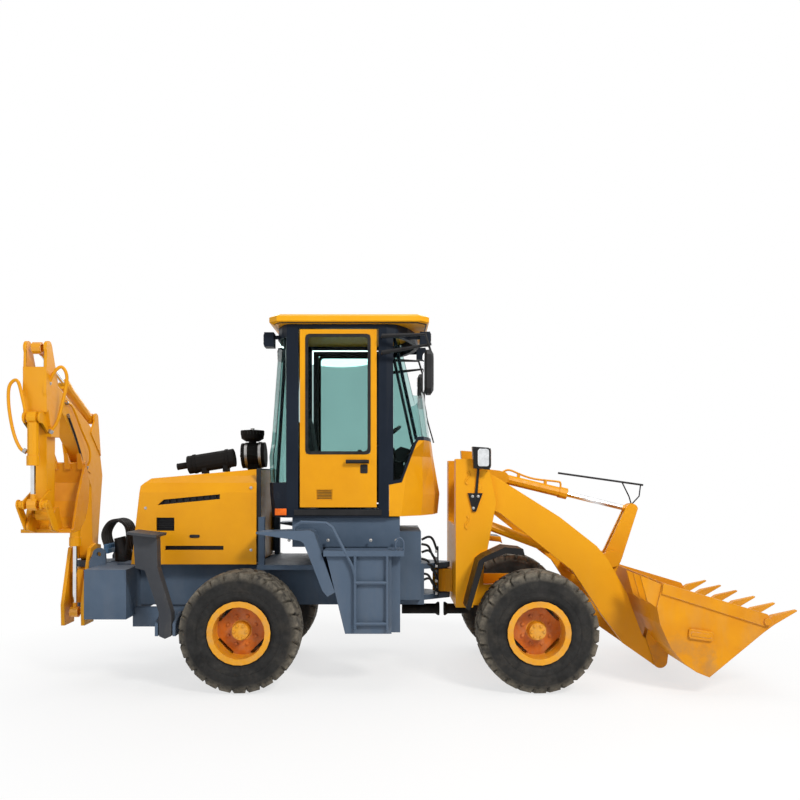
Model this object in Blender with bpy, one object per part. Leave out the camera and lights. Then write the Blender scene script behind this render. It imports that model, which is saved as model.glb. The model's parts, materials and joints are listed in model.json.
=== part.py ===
"""Compact articulated backhoe loader: front bucket on a Z-bar arm, cab and engine on the rear frame,
and a backhoe folded up at the back, swung to the right-hand side.

Metres. +X points forward, +Y to the machine's left, +Z up. Sizes are written in a frame whose origin
lies on the floor midway between the axles; the last step centres the whole machine on its outline.
"""

import math

import bmesh
import bpy
from mathutils import Matrix, Vector

for old in list(bpy.data.objects):
    bpy.data.objects.remove(old, do_unlink=True)

# Clearances
GAP = 0.0003            # between pieces that seat on each other
PIN_SIDE = 0.003        # beside a lug on its pin
PIN_CLEAR = 0.003       # round a pin in its bore
PIN_SIDES = 8
RUN = 0.008             # between pieces that move past each other

# Wheels and axles
WHEELBASE = 2.36
TRACK = 1.45
TYRE_D = 0.965
TYRE_W = 0.39
TYRE_R = TYRE_D / 2
RIM_D = 0.47
RIM_R = RIM_D / 2
RIM_FLANGE_R = 0.252
LUGS = 25
BEAD_PHASE = 1.1        # where the bead's corners lie, in lug pitches
LUG_H = 0.034
LUG_SIDE = 0.062        # how far a lug's end reaches down the sidewall
HUB_R = 0.075
AXLE_R = 0.075
AXLE_X = {"rear": -WHEELBASE / 2, "front": WHEELBASE / 2}
SIDES = {"right": -1, "left": 1}

# Rear frame
RAIL_Y = 0.30
RAIL_T = 0.04
CHASSIS_Z0, CHASSIS_Z1 = 0.62, 0.97
CHASSIS_X0, CHASSIS_X1 = -2.32, 0.30
PIVOT_X = 0.47
PIVOT_R = 0.055

HITCH_PLATES = (0.66, 0.93)     # middle heights of the rear frame's two hinge plates
HOE_FRAME_X0, HOE_FRAME_X1 = -2.46, -2.12
HOE_FRAME_Y = 0.72
SWING_LUGS = ((0.555, 0.605), (0.915, 0.965))
STAB_PIN = (-1.77, 0.50)
STAB_PIN_R = 0.022
STAB_Y = 0.80
HOOD_X1 = -1.107
HOOD_Y = 0.50
HOOD_Z0 = 0.98
HOOD_WALL = 0.02

# Cab
CAB_Y = 0.60
CAB_Z0, CAB_Z1 = 1.375, 2.965
DOOR_X0, DOOR_X1 = -0.731, -0.101
DOOR_Z0, DOOR_Z1 = 1.46, 2.92
POST_T = 0.09
WALL = 0.045

# Loader
BOOM_PIN = (0.745, 1.625)
BOOM_Y = 0.43
BOOM_T = 0.055
BOOM_END_R = 0.058
CROSS_TUBE = (1.70, 0.90)
CARRIER_Y = 0.072
TOWER_X0 = 0.557
FRONT_FLOOR_Z = CHASSIS_Z0
TOWER_Y = 0.4825
INNER_Y = 0.370
TOWER_T = 0.03
TILT_EAR_Y = 0.064
BUCKET_PIN = (2.27, 0.17)
TEETH = 6
BUCKET_W = 1.86
CRANK_PIN = (1.983, 0.984)
CRANK_TOP = (2.162, 1.418)
CRANK_LOW = (1.87, 0.65)
LINK_PIN = (2.08, 0.505)
TILT_BASE = (1.004, 1.699)
LIFT_BASE = (0.83, 1.30)
LIFT_END = (1.47, 1.06)
LIFT_Y = 0.31
PIN_R = 0.03

# Backhoe, in the upright plane ARM_X with u counted outwards from the swing axis
ARM_X = -2.70
SWING_X = ARM_X
HOE_FOOT = (-0.02, 1.02)
HOE_ELBOW = (0.92, 2.40)
DIPPER_TOP = (1.02, 2.70)
DIPPER_END = (0.90, 1.42)
HOE_LINK_PIN = (0.97, 1.33)
GUIDE_PIN = (0.95, 1.57)
HOE_BUCKET_W = 0.40
HOE_TEETH = 4
HOE_TOOTH_ROOT, HOE_TOOTH_TIP = (0.553, 1.77), (0.622, 1.90)
HOE_HALF = 0.06
HOE_LUG_X = 0.060       # lugs beside a ram's eye, from the arm's middle
HOE_LUG_T = 0.016
HOE_GUIDE_X = 0.066     # the guide links, the bucket's ears and the bucket links lie further out in turn
HOE_EAR_X = 0.090
HOE_LINK_X = 0.112
HOE_LINK_T = 0.012
HOE_CHEEK = 0.085
# each ram: the body that carries its barrel, its base pin and its rod's eye
HOE_RAMS = {
    "hoe_boom_ram": ("hoe_boom", (0.28, 1.78), (0.29, 0.55)),
    "dipper_ram": ("hoe_boom", (-0.03, 2.23), (1.02, 2.70)),
    "hoe_bucket_ram": ("dipper", (1.10, 2.16), (1.10, 1.50)),
}
# barrel length, rod length, barrel radius
HOE_RAM_SIZES = {
    "hoe_boom_ram": (0.66, 0.68, 0.045),
    "dipper_ram": (0.61, 0.60, 0.042),
    "hoe_bucket_ram": (0.36, 0.38, 0.042),
}

PAINT = {
    "yellow": ((0.86, 0.42, 0.01), 0.42, 0.0),
    "orange": ((0.80, 0.30, 0.015), 0.45, 0.0),
    "blue_grey": ((0.17, 0.21, 0.27), 0.5, 0.0),
    "dark_grey": ((0.07, 0.075, 0.085), 0.55, 0.0),
    "navy": ((0.018, 0.022, 0.035), 0.4, 0.0),
    "black": ((0.012, 0.012, 0.012), 0.6, 0.0),
    "rubber": ((0.03, 0.03, 0.03), 0.85, 0.0),
    "steel": ((0.55, 0.55, 0.56), 0.28, 1.0),
    "glass": ((0.35, 0.62, 0.58), 0.08, 0.0),
}
materials = {}
for paint, (colour, roughness, metallic) in PAINT.items():
    material = bpy.data.materials.new(paint)
    material.use_nodes = True
    shader = material.node_tree.nodes["Principled BSDF"]
    shader.inputs["Base Color"].default_value = (*colour, 1)
    shader.inputs["Roughness"].default_value = roughness
    shader.inputs["Metallic"].default_value = metallic
    materials[paint] = material


# Making and joining solids
def solid(mesh_maker, name="shape"):
    """A new object from a bmesh that mesh_maker fills, with its faces pointing out."""
    shape = bmesh.new()
    mesh_maker(shape)
    bmesh.ops.triangulate(shape, faces=shape.faces)
    bmesh.ops.recalc_face_normals(shape, faces=shape.faces)
    mesh = bpy.data.meshes.new(name)
    shape.to_mesh(mesh)
    shape.free()
    piece = bpy.data.objects.new(name, mesh)
    bpy.context.scene.collection.objects.link(piece)
    return piece


def skin(rings, closed_ends=True):
    """A solid through rings of points that all have the same count."""

    def fill(shape):
        rows = [[shape.verts.new(point) for point in ring] for ring in rings]
        count = len(rows[0])
        for near, far in zip(rows, rows[1:]):
            for i in range(count):
                j = (i + 1) % count
                shape.faces.new((near[i], near[j], far[j], far[i]))
        if closed_ends:
            shape.faces.new(rows[0])
            shape.faces.new(rows[-1])

    return solid(fill)


def plate(outline, y0, y1):
    """An (x, z) outline made solid from y0 to y1."""
    return skin([[(x, y0, z) for x, z in outline], [(x, y1, z) for x, z in outline]])


def cross_plate(outline, x0, x1):
    """A (y, z) outline made solid from x0 to x1."""
    return skin([[(x0, y, z) for y, z in outline], [(x1, y, z) for y, z in outline]])


def flat_plate(outline, z0, z1):
    """An (x, y) outline made solid from z0 to z1."""
    return skin([[(x, y, z0) for x, y in outline], [(x, y, z1) for x, y in outline]])


def block(x, y, z):
    """A box from (low, high) pairs."""
    return flat_plate([(x[0], y[0]), (x[1], y[0]), (x[1], y[1]), (x[0], y[1])], *z)


def circle(centre, radius, segments, start=0.0, sweep=360.0):
    """Points along an arc. A full circle leaves out the repeated last point."""
    full = abs(sweep) >= 360
    steps = segments if full else segments + 1
    return [
        (
            centre[0] + radius * math.cos(math.radians(start + sweep * i / segments)),
            centre[1] + radius * math.sin(math.radians(start + sweep * i / segments)),
        )
        for i in range(steps)
    ]


def rod(start, end, radius, segments=12, end_radius=None):
    """A round bar between two points."""
    start, end = Vector(start), Vector(end)
    turn = (end - start).to_track_quat("Z", "Y")
    radii = (radius, radius if end_radius is None else end_radius)
    return skin([
        [
            point + turn @ Vector((r * math.cos(a), r * math.sin(a), 0))
            for a in (2 * math.pi * i / segments for i in range(segments))
        ]
        for point, r in zip((start, end), radii)
    ])


def tube_path(points, radius, segments=8):
    """A round bar bent through points."""
    points = [Vector(p) for p in points]
    rings = []
    for i, point in enumerate(points):
        before = points[max(i - 1, 0)]
        after = points[min(i + 1, len(points) - 1)]
        along = (after - before).normalized()
        first = (point - before).normalized() if i else along
        turn = along.to_track_quat("Z", "Y")
        widen = 1 / max(0.5, along.dot(first))
        rings.append([
            point + turn @ Vector((radius * widen * math.cos(a), radius * widen * math.sin(a), 0))
            for a in (2 * math.pi * k / segments for k in range(segments))
        ])
    return skin(rings)


def turned(profile, segments, centre, axis="Y", phase=0.0):
    """A closed (radius, offset) profile turned about an axis through centre. Phase is in segments."""
    rings = []
    for i in range(segments):
        angle = 2 * math.pi * (i + phase) / segments
        ring = []
        for radius, offset in profile:
            u, v = radius * math.cos(angle), radius * math.sin(angle)
            local = {"X": (offset, u, v), "Y": (u, offset, v), "Z": (u, v, offset)}[axis]
            ring.append(Vector(centre) + Vector(local))
        rings.append(ring)

    def fill(shape):
        rows = [[shape.verts.new(point) for point in ring] for ring in rings]
        count = len(profile)
        for k, near in enumerate(rows):
            far = rows[(k + 1) % segments]
            for i in range(count):
                j = (i + 1) % count
                shape.faces.new((near[i], near[j], far[j], far[i]))
        bmesh.ops.remove_doubles(shape, verts=shape.verts, dist=1e-6)

    return solid(fill)


def settle(piece):
    """Replaces an object's mesh by what its modifiers make of it."""
    bpy.context.view_layer.update()
    graph = bpy.context.evaluated_depsgraph_get()
    mesh = bpy.data.meshes.new_from_object(piece.evaluated_get(graph))
    piece.modifiers.clear()
    piece.data = mesh


def combine(piece, others, operation, solver="EXACT"):
    for other in others:
        step = piece.modifiers.new(operation.lower(), "BOOLEAN")
        step.operation = operation
        step.object = other
        step.solver = solver
        settle(piece)
        bpy.data.objects.remove(other, do_unlink=True)
    return piece


def fuse(parts, cuts=(), solver="EXACT"):
    """The first part with the others joined to it and the cuts taken away."""
    piece = combine(parts[0], parts[1:], "UNION", solver)
    return combine(piece, cuts, "DIFFERENCE", solver)


def mirrored(piece, side):
    """The right-hand (-Y) piece, or its mirror image on the left."""
    if side < 0:
        return piece
    piece.data.transform(Matrix.Scale(-1, 4, (0, 1, 0)))
    piece.data.flip_normals()
    return piece


def merge_flat_faces(piece):
    """Joins triangles that lie in one plane, which Booleans leave in pieces."""
    shape = bmesh.new()
    shape.from_mesh(piece.data)
    bmesh.ops.dissolve_limit(shape, angle_limit=math.radians(0.3), verts=shape.verts, edges=shape.edges)
    bmesh.ops.triangulate(shape, faces=shape.faces)
    shape.to_mesh(piece.data)
    shape.free()


def finish(piece, name, paint, body, smooth=None):
    """Names a node, gives it its material and hangs it on its body's empty."""
    merge_flat_faces(piece)
    piece.name = name
    piece.data.name = name
    piece.data.materials.clear()
    piece.data.materials.append(materials[paint])
    if smooth:
        piece.data.shade_smooth()
        piece.data.set_sharp_from_angle(angle=math.radians(smooth))
    carrier = bodies[body]
    piece.parent = carrier
    piece.matrix_parent_inverse = carrier.matrix_world.inverted()
    return piece


# Bodies: name, the body that carries it, and a point on its joint's axis
bodies = {}


def body(name, carrier, place):
    empty = bpy.data.objects.new(f"{name}_axis", None)
    bpy.context.scene.collection.objects.link(empty)
    bpy.context.view_layer.update()
    if carrier:
        above = bodies[carrier]
        empty.parent = above
        empty.location = Vector(place) - above.matrix_world.translation
    else:
        empty.location = place
    bodies[name] = empty
    bpy.context.view_layer.update()


def arm_point(u, z, x=0.0):
    """A point of the backhoe's plane: u outwards from the swing axis, x beside the plane."""
    return (ARM_X + x, -u, z)


def side_point(place, y=0.0):
    return (place[0], y, place[1])


body("rear_frame", None, (0, 0, 0))
body("front_frame", "rear_frame", (PIVOT_X, 0, CHASSIS_Z0))
for end, carrier in (("rear", "rear_frame"), ("front", "front_frame")):
    for side_name, side in SIDES.items():
        body(f"{end}_{side_name}_wheel", carrier, (AXLE_X[end], side * TRACK / 2, TYRE_R))
for side_name, side in SIDES.items():
    body(f"{side_name}_door", "rear_frame", (DOOR_X0, side * CAB_Y, DOOR_Z0))
    body(f"{side_name}_stabilizer", "rear_frame", (STAB_PIN[0], side * STAB_Y, STAB_PIN[1]))
    body(f"{side_name}_lift_barrel", "front_frame", side_point(LIFT_BASE, side * LIFT_Y))
    body(f"{side_name}_lift_rod", f"{side_name}_lift_barrel", side_point(LIFT_END, side * LIFT_Y))
body("loader_boom", "front_frame", side_point(BOOM_PIN))
body("bellcrank", "loader_boom", side_point(CRANK_PIN))
body("bucket_link", "bellcrank", side_point(CRANK_LOW))
body("loader_bucket", "loader_boom", side_point(BUCKET_PIN))
body("tilt_barrel", "front_frame", side_point(TILT_BASE))
body("tilt_rod", "tilt_barrel", side_point(CRANK_TOP))
body("swing_post", "rear_frame", (SWING_X, 0, CHASSIS_Z0))
body("hoe_boom", "swing_post", arm_point(*HOE_FOOT))
body("dipper", "hoe_boom", arm_point(*HOE_ELBOW))
body("hoe_bucket", "dipper", arm_point(*DIPPER_END))
body("hoe_guide", "dipper", arm_point(*GUIDE_PIN))
body("hoe_link", "hoe_guide", arm_point(*HOE_RAMS["hoe_bucket_ram"][2]))
for ram, (carrier, base, eye) in HOE_RAMS.items():
    body(f"{ram}_barrel", carrier, arm_point(*base))
    body(f"{ram}_rod", f"{ram}_barrel", arm_point(*eye))


# Wheels
def tyre_rings():
    """Profile rings across the tyre, from the left bead over the tread to the right one."""
    groove = TYRE_R - LUG_H
    half = TYRE_W / 2
    pitch = 2 * math.pi / LUGS

    # offset across, radius of a lug, radius of a groove, lead of the slanted lug in pitches
    tread = (
        (0.034, TYRE_R, groove, 0.05),
        (0.168, TYRE_R - 0.010, groove - 0.012, 0.45),
        (half, TYRE_R - LUG_SIDE, TYRE_R - LUG_SIDE - 0.004, 0.50),
    )
    # a lug's start, its end and the bottom of the groove after it, in pitches
    steps = ((0.0, True), (0.74, True), (0.87, False))

    def tread_ring(across, row, shift):
        _, lug_r, groove_r, lead = row
        ring = []
        for lug in range(LUGS):
            for at, raised in steps:
                angle = (lug + at + lead + shift) * pitch
                radius = lug_r if raised else groove_r
                ring.append((radius * math.cos(angle), across, radius * math.sin(angle)))
        return ring

    def plain_ring(across, radius, phase):
        return [
            (radius * math.cos(angle), across, radius * math.sin(angle))
            for angle in ((lug + phase) * pitch for lug in range(LUGS))
        ]

    # offset across, radius, and how far the ring is turned against the bead, in pitches
    plain = ((half + 0.001, 0.36, 0.25), (half - 0.012, 0.29, 0.12), (half - 0.046, RIM_R + GAP, 0.0))
    left = [tread_ring(-row[0], row, 0.0) for row in tread]
    right = [tread_ring(row[0], row, 0.5) for row in tread]
    middle = [tread_ring(0.0, (0.0, groove, groove, 0.05), 0.25)]
    left_wall = [plain_ring(-across, radius, BEAD_PHASE - turn) for across, radius, turn in plain]
    right_wall = [plain_ring(across, radius, BEAD_PHASE + turn) for across, radius, turn in plain]
    return left_wall[::-1] + left[::-1] + middle + right + right_wall


def tyre_mesh(shape):
    rows = [[shape.verts.new(p) for p in ring] for ring in tyre_rings()]
    for near, far in zip(rows, rows[1:] + rows[:1]):
        if len(near) == len(far):
            count = len(near)
            for i in range(count):
                j = (i + 1) % count
                shape.faces.new((near[i], near[j], far[j], far[i]))
            continue
        fine, coarse = (near, far) if len(near) > len(far) else (far, near)
        share = len(fine) // len(coarse)
        for k, corner in enumerate(coarse):
            after = coarse[(k + 1) % len(coarse)]
            for i in range(k * share, (k + 1) * share):
                shape.faces.new((fine[i], fine[(i + 1) % len(fine)], corner))
            shape.faces.new((fine[(k + 1) * share % len(fine)], after, corner))


def wheel(end, side_name):
    side = SIDES[side_name]
    carrier = f"{end}_{side_name}_wheel"
    centre = Vector((AXLE_X[end], side * TRACK / 2, TYRE_R))
    tyre = mirrored(solid(tyre_mesh), side)
    tyre.data.transform(Matrix.Translation(centre))
    finish(tyre, f"{end}_{side_name}_tyre", "rubber", carrier, smooth=40)

    out = TYRE_W / 2 - 0.035
    # radius and offset outwards: the barrel with both flanges, and the dished disc with its hub cap
    bore = RIM_R - 0.03
    rim = turned([
        (0.0, 0.0), (bore, 0.0), (bore, -out - 0.018), (RIM_FLANGE_R, -out - 0.018),
        (RIM_R, -out + 0.002), (RIM_R, out - 0.002), (RIM_FLANGE_R, out + 0.018), (bore, out + 0.018),
        (bore, 0.014), (HUB_R, 0.03), (HUB_R - 0.008, 0.105), (0.0, 0.11),
    ], LUGS, centre, phase=BEAD_PHASE)
    flip = Matrix.Translation(centre) @ Matrix.Scale(side, 4, (0, 1, 0)) @ Matrix.Translation(-centre)
    rim.data.transform(flip)
    if side < 0:
        rim.data.flip_normals()
    windows = []
    for k in range(4):
        angle = math.radians(45 + 90 * k)
        turnabout = Matrix.Rotation(angle, 4, "Y")
        window = block((RIM_R - 0.062, RIM_R - 0.036), (-0.03, 0.05), (-0.08, 0.08))
        window.data.transform(Matrix.Translation(centre) @ turnabout)
        windows.append(window)
    rim = fuse([rim], windows, "MANIFOLD")
    finish(rim, f"{end}_{side_name}_rim", "yellow", carrier, smooth=35)


def axle(end, carrier):
    """A beam axle with its gear case, as far as the wheels' discs."""
    x = AXLE_X[end]
    reach = TRACK / 2 - GAP
    seat_y = {"rear": RAIL_Y, "front": INNER_Y}[end]
    beam = rod((x, -reach, TYRE_R), (x, reach, TYRE_R), AXLE_R, 10)
    hubs = [
        rod((x, side * 0.44, TYRE_R), (x, side * 0.52, TYRE_R), 0.15, 12)
        for side in SIDES.values()
    ]
    case = turned([(0.0, -0.15), (0.10, -0.15), (0.17, -0.06), (0.17, 0.06), (0.10, 0.15), (0.0, 0.15)],
                  12, (x, 0, TYRE_R))
    forward = 1 if end == "rear" else -1
    snout = rod((x, 0, TYRE_R), (x + forward * 0.30, 0, TYRE_R), 0.07, 8)
    seats = [
        block((x - 0.08, x + 0.08), (side * seat_y - 0.05, side * seat_y + 0.05),
              (TYRE_R, CHASSIS_Z0 - GAP))
        for side in SIDES.values()
    ]
    finish(fuse([beam, case, snout, *hubs, *seats], (), "MANIFOLD"), f"{end}_axle", "dark_grey", carrier, smooth=35)


for end in AXLE_X:
    for side_name in SIDES:
        wheel(end, side_name)
axle("rear", "rear_frame")
axle("front", "front_frame")


# Rear chassis: rails, cross frame for the backhoe, cab base and step boxes
def rear_chassis():
    rails = [
        block((CHASSIS_X0, CHASSIS_X1), (side * RAIL_Y - RAIL_T, side * RAIL_Y + RAIL_T),
              (CHASSIS_Z0, CHASSIS_Z1))
        for side in SIDES.values()
    ]
    deck = block((CHASSIS_X0 + 0.01, CHASSIS_X1 - 0.01), (-RAIL_Y, RAIL_Y), (CHASSIS_Z1 - 0.03, CHASSIS_Z1 - 0.002))
    cross_frame = block((HOE_FRAME_X0, HOE_FRAME_X1), (-HOE_FRAME_Y, HOE_FRAME_Y),
                        (CHASSIS_Z0 - 0.06, CHASSIS_Z1 - 0.01))
    swing_plates = []
    for z0, z1 in SWING_LUGS:
        outline = [(HOE_FRAME_X0 + 0.02, -0.17), (HOE_FRAME_X0 + 0.02, 0.17)]
        outline += circle((SWING_X, 0), 0.095, 10, 80, 200)
        swing_plates.append(flat_plate(outline, z0, z1))
    lobes = []
    for side in SIDES.values():
        outline = [(HOE_FRAME_X0 - 0.10, 0.52), (HOE_FRAME_X1 - 0.01, 0.545), (HOE_FRAME_X1 - 0.01, 0.95),
                   (HOE_FRAME_X0 + 0.03, 0.95)]
        outline += circle((HOE_FRAME_X0 - 0.03, 1.045), 0.055, 8, -10, 190)
        outline += [(HOE_FRAME_X0 - 0.115, 0.98)]
        lobes.append(plate(outline, side * 0.29 - 0.015, side * 0.29 + 0.015))
    cab_base = block((-0.80, 0.09), (-0.55, 0.55), (1.13, CAB_Z0 - GAP))
    under_cab = block((-0.62, 0.05), (-0.50, 0.50), (CHASSIS_Z1 - 0.01, 1.14))
    posts = [
        block((-1.09, -1.04), (side * 0.47 - 0.03, side * 0.47 + 0.03), (CHASSIS_Z1 - 0.02, CAB_Z0 - GAP))
        for side in SIDES.values()
    ]
    sill = block((-1.10, -0.60), (-0.51, 0.51), (CHASSIS_Z1 - 0.035, CHASSIS_Z1 + 0.005))
    nose_tank = block((0.09 - 0.02, 0.27), (-0.42, 0.42), (0.67, 1.25))
    hitch = [
        flat_plate(
            [(CHASSIS_X1 - 0.05, -0.24), (CHASSIS_X1 - 0.05, 0.24)] + circle((PIVOT_X, 0), 0.075, 10, 75, -150),
            z - 0.0225, z + 0.0225)
        for z in HITCH_PLATES
    ]
    front_wall = block((0.20, 0.27), (-0.32, 0.32), (CHASSIS_Z0, 1.25))
    hitch_pin = rod((PIVOT_X, 0, HITCH_PLATES[0]), (PIVOT_X, 0, HITCH_PLATES[1]), PIVOT_R, 16)
    stab_ears = []
    for side in SIDES.values():
        for x in (-0.07, 0.07):
            ear = cross_plate([(side * 0.44, 0.58), (side * 0.44, 0.45), (side * STAB_Y + side * 0.045, 0.45),
                               (side * STAB_Y + side * 0.045, 0.55), (side * 0.66, 0.62)],
                              STAB_PIN[0] + x - 0.012, STAB_PIN[0] + x + 0.012)
            stab_ears.append(ear)
        stab_ears.append(rod((STAB_PIN[0] - 0.08, side * STAB_Y, STAB_PIN[1]),
                             (STAB_PIN[0] + 0.08, side * STAB_Y, STAB_PIN[1]), STAB_PIN_R, 8))
        stab_ears.append(block((HOE_FRAME_X1 - 0.02, STAB_PIN[0] + 0.082),
                               (side * 0.46 - 0.03, side * 0.46 + 0.03), (0.46, 0.62)))
    chassis = fuse([rails[0], rails[1], deck, cross_frame, *swing_plates, *lobes, cab_base, under_cab,
                    *posts, sill, nose_tank, *hitch, front_wall, hitch_pin, *stab_ears],
                   [rod((HOE_FRAME_X0 - 0.03, -0.6, 1.045), (HOE_FRAME_X0 - 0.03, 0.6, 1.045), 0.02, 10)],
                   "MANIFOLD")
    finish(chassis, "rear_chassis", "blue_grey", "rear_frame")


def step_box(side_name):
    """Tank with its ladder, the shelf above it and the fender strip behind it."""
    side = SIDES[side_name]
    y_in, y_out = -0.56, -0.80
    tank = skin([
        [(-0.50 + lean, y, 1.08), (0.02, y, 1.08), (0.02, y, 0.46), (-0.35 + lean, y, 0.46)]
        for lean, y in ((0.0, y_in), (0.0, y_out))
    ])
    corner = block((-0.01, 0.09), (y_out + 0.06, y_in), (0.46, 1.13))
    shelf = block((-0.52, 0.12), (y_out - 0.04, y_in), (1.08, 1.125))
    rails = [
        rod((x, y_out - 0.03, 0.50), (x, y_out - 0.03, 1.09), 0.013, 6) for x in (-0.27, -0.015)
    ]
    rungs = [
        rod((-0.27, y_out - 0.03, z), (-0.015, y_out - 0.03, z), 0.014, 6) for z in (0.545, 0.87)
    ]
    brackets = [
        rod((x, y_out - 0.03, z), (x, y_out + 0.02, z), 0.011, 6)
        for x in (-0.27, -0.015) for z in (0.53, 0.90)
    ]
    # centre line of the fender strip over the rear wheel, front end last
    strip = [(-1.06, 1.27), (-0.63, 1.285), (-0.60, 1.27), (-0.43, 0.79), (-0.49, 0.755), (-0.53, 0.80),
             (-0.68, 1.18), (-0.71, 1.20), (-1.06, 1.255)]
    fender = plate(strip, y_out, -0.5503)
    handrail = tube_path([
        (-0.76, y_out + 0.02, 1.255), (-0.76, y_out + 0.02, 1.31), (-0.70, y_out, 1.35),
        (-0.50, y_out - 0.02, 1.345), (-0.45, y_out - 0.03, 1.31), (-0.29, y_out - 0.03, 1.0),
        (-0.27, y_out - 0.03, 0.93), (-0.27, y_out - 0.03, 0.88),
    ], 0.013, 6)
    box = fuse([tank, corner, shelf, *rails, *rungs, *brackets, fender, handrail])
    finish(mirrored(box, side), f"{side_name}_step_box", "blue_grey", "rear_frame")


rear_chassis()
for side_name in SIDES:
    step_box(side_name)


# Hood and engine
def hood_hull(inset, floor):
    side = plate([
        (-2.15 + inset, floor), (-2.075 + inset, 1.634 - inset * 0.6), (-2.00 + inset * 0.6, 1.697 - inset),
        (HOOD_X1 - inset, 1.777 - inset), (HOOD_X1 - inset, floor),
    ], -0.7, 0.7)
    y = HOOD_Y - inset
    section = cross_plate([
        (-y, floor - 0.1), (y, floor - 0.1), (y, 1.58), (y - 0.02, 1.66 - inset), (y - 0.10, 1.72 - inset),
        (y - 0.20, 1.9), (0.20 - y, 1.9), (0.10 - y, 1.72 - inset), (0.02 - y, 1.66 - inset), (-y, 1.58),
    ], -2.4, -0.9)
    return combine(side, [section], "INTERSECT")


def hood():
    shell = hood_hull(0.0, HOOD_Z0)
    inside = hood_hull(HOOD_WALL, HOOD_Z0 - 0.05)
    cuts = [inside]
    for side in SIDES.values():
        y = (side * (HOOD_Y + 0.05), side * (HOOD_Y - HOOD_WALL - 0.02))
        cuts.append(plate([(-1.93, 1.475), (-1.88, 1.52), (-1.41, 1.565), (-1.41, 1.525)], *y))
        cuts.append(plate([(-1.87, 1.10), (-1.38, 1.10), (-1.38, 1.135), (-1.865, 1.135)], *y))
        cuts.append(plate([(-1.94, 1.26), (-1.79, 1.26), (-1.79, 1.37), (-1.94, 1.37)], *y))
    finish(fuse([shell], cuts), "engine_hood", "yellow", "rear_frame", smooth=30)


def engine():
    block_low = block((-1.98, -1.20), (-0.24, 0.24), (CHASSIS_Z1 + GAP, 1.42))
    finish(block_low, "engine_block", "dark_grey", "rear_frame")


def hood_top(x):
    return 1.697 + (x + 2.0) * 0.08 / 0.893


def muffler():
    start, end = Vector((-1.72, -0.28, 1.812)), Vector((-1.335, -0.28, 1.875))
    along = (end - start).normalized()
    can = rod(start, end, 0.078, 16)
    tail = rod(start - along * 0.10, start + along * 0.02, 0.028, 12)
    feet = [
        block((x - 0.02, x + 0.02), (-0.34, -0.22), (hood_top(x + 0.02) + GAP, 1.83)) for x in (-1.58, -1.40)
    ]
    finish(fuse([can, tail, *feet]), "muffler", "black", "rear_frame", smooth=35)


def air_cleaner():
    drum = rod((-1.33, 0.10, 1.90), (-1.12, 0.10, 1.91), 0.115, 18)
    foot = block((-1.27, -1.17), (0.02, 0.18), (hood_top(-1.17) + GAP, 1.86))
    neck = rod((-1.24, 0.10, 1.98), (-1.24, 0.10, 2.06), 0.035, 12)
    bowl = turned([(0.0, 0.0), (0.06, 0.0), (0.10, 0.025), (0.106, 0.06), (0.106, 0.10), (0.0, 0.11)],
                  20, (-1.24, 0.10, 2.03), "Z")
    finish(fuse([drum, foot, neck, bowl]), "air_cleaner", "black", "rear_frame", smooth=35)


# Cab
# height, rear wall, then the front's plan from its corner to its middle
CAB_LEVELS = (
    (1.375, -0.985, (0.10, 0.585), (0.27, 0.43), (0.385, 0.22), (0.435, 0.0)),
    (1.56, -1.005, (0.12, 0.585), (0.285, 0.43), (0.40, 0.22), (0.452, 0.0)),
    (1.88, -1.02, (0.16, 0.585), (0.28, 0.43), (0.365, 0.22), (0.395, 0.0)),
    (2.01, -1.00, (0.29, 0.58), (0.335, 0.43), (0.365, 0.22), (0.378, 0.0)),
    (2.965, -0.93, (0.06, 0.58), (0.15, 0.43), (0.22, 0.22), (0.25, 0.0)),
)


def cab_hull(inset, z0=None, z1=None):
    """The cab's outer form moved in by inset."""
    rings = []
    for z, rear, *front in CAB_LEVELS:
        half = [(rear + inset, 0.40), (rear + inset + 0.05, CAB_Y - 0.06 - inset), (-0.84, CAB_Y - inset),
                (-0.02, CAB_Y - inset)]
        half += [(x - inset, max(y - inset, 0.0)) for x, y in front]
        ring = half + [(x, -y) for x, y in reversed(half) if y > 0]
        rings.append([(x, y, z) for x, y in ring])
    if z0 is not None:
        rings[0] = [(x, y, z0) for x, y, _ in rings[0]]
    if z1 is not None:
        rings[-1] = [(x, y, z1) for x, y, _ in rings[-1]]
    return skin(rings)


def nose_side(low, gap):
    """The side view of all that the nose takes up: below a line that climbs to the windscreen."""
    return [(gap, low), (0.80, low), (0.80, 2.012 - gap), (0.245, 2.012 - gap), (0.225 + gap, 1.985 - gap),
            (0.105 + gap, 1.665 - gap), (gap, 1.645 - gap)]


def window_blocks(shrink):
    """The openings of the glazing in front of and behind the doors, each made smaller by shrink."""
    s = shrink
    front = plate([
        (0.035 + s, 1.68 + s), (0.095 - s, 1.69 + s), (0.21 - s, 2.0 + s), (0.24, 2.042 + s),
        (0.80, 2.042 + s), (0.80, 2.86 - s), (0.035 + s, 2.86 - s),
    ], -0.8, 0.8)
    rear = plate([(-1.30, 1.66 + s), (-0.845 - s, 1.66 + s), (-0.845 - s, 2.86 - s), (-1.30, 2.86 - s)], -0.8, 0.8)
    return front, rear


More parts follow.
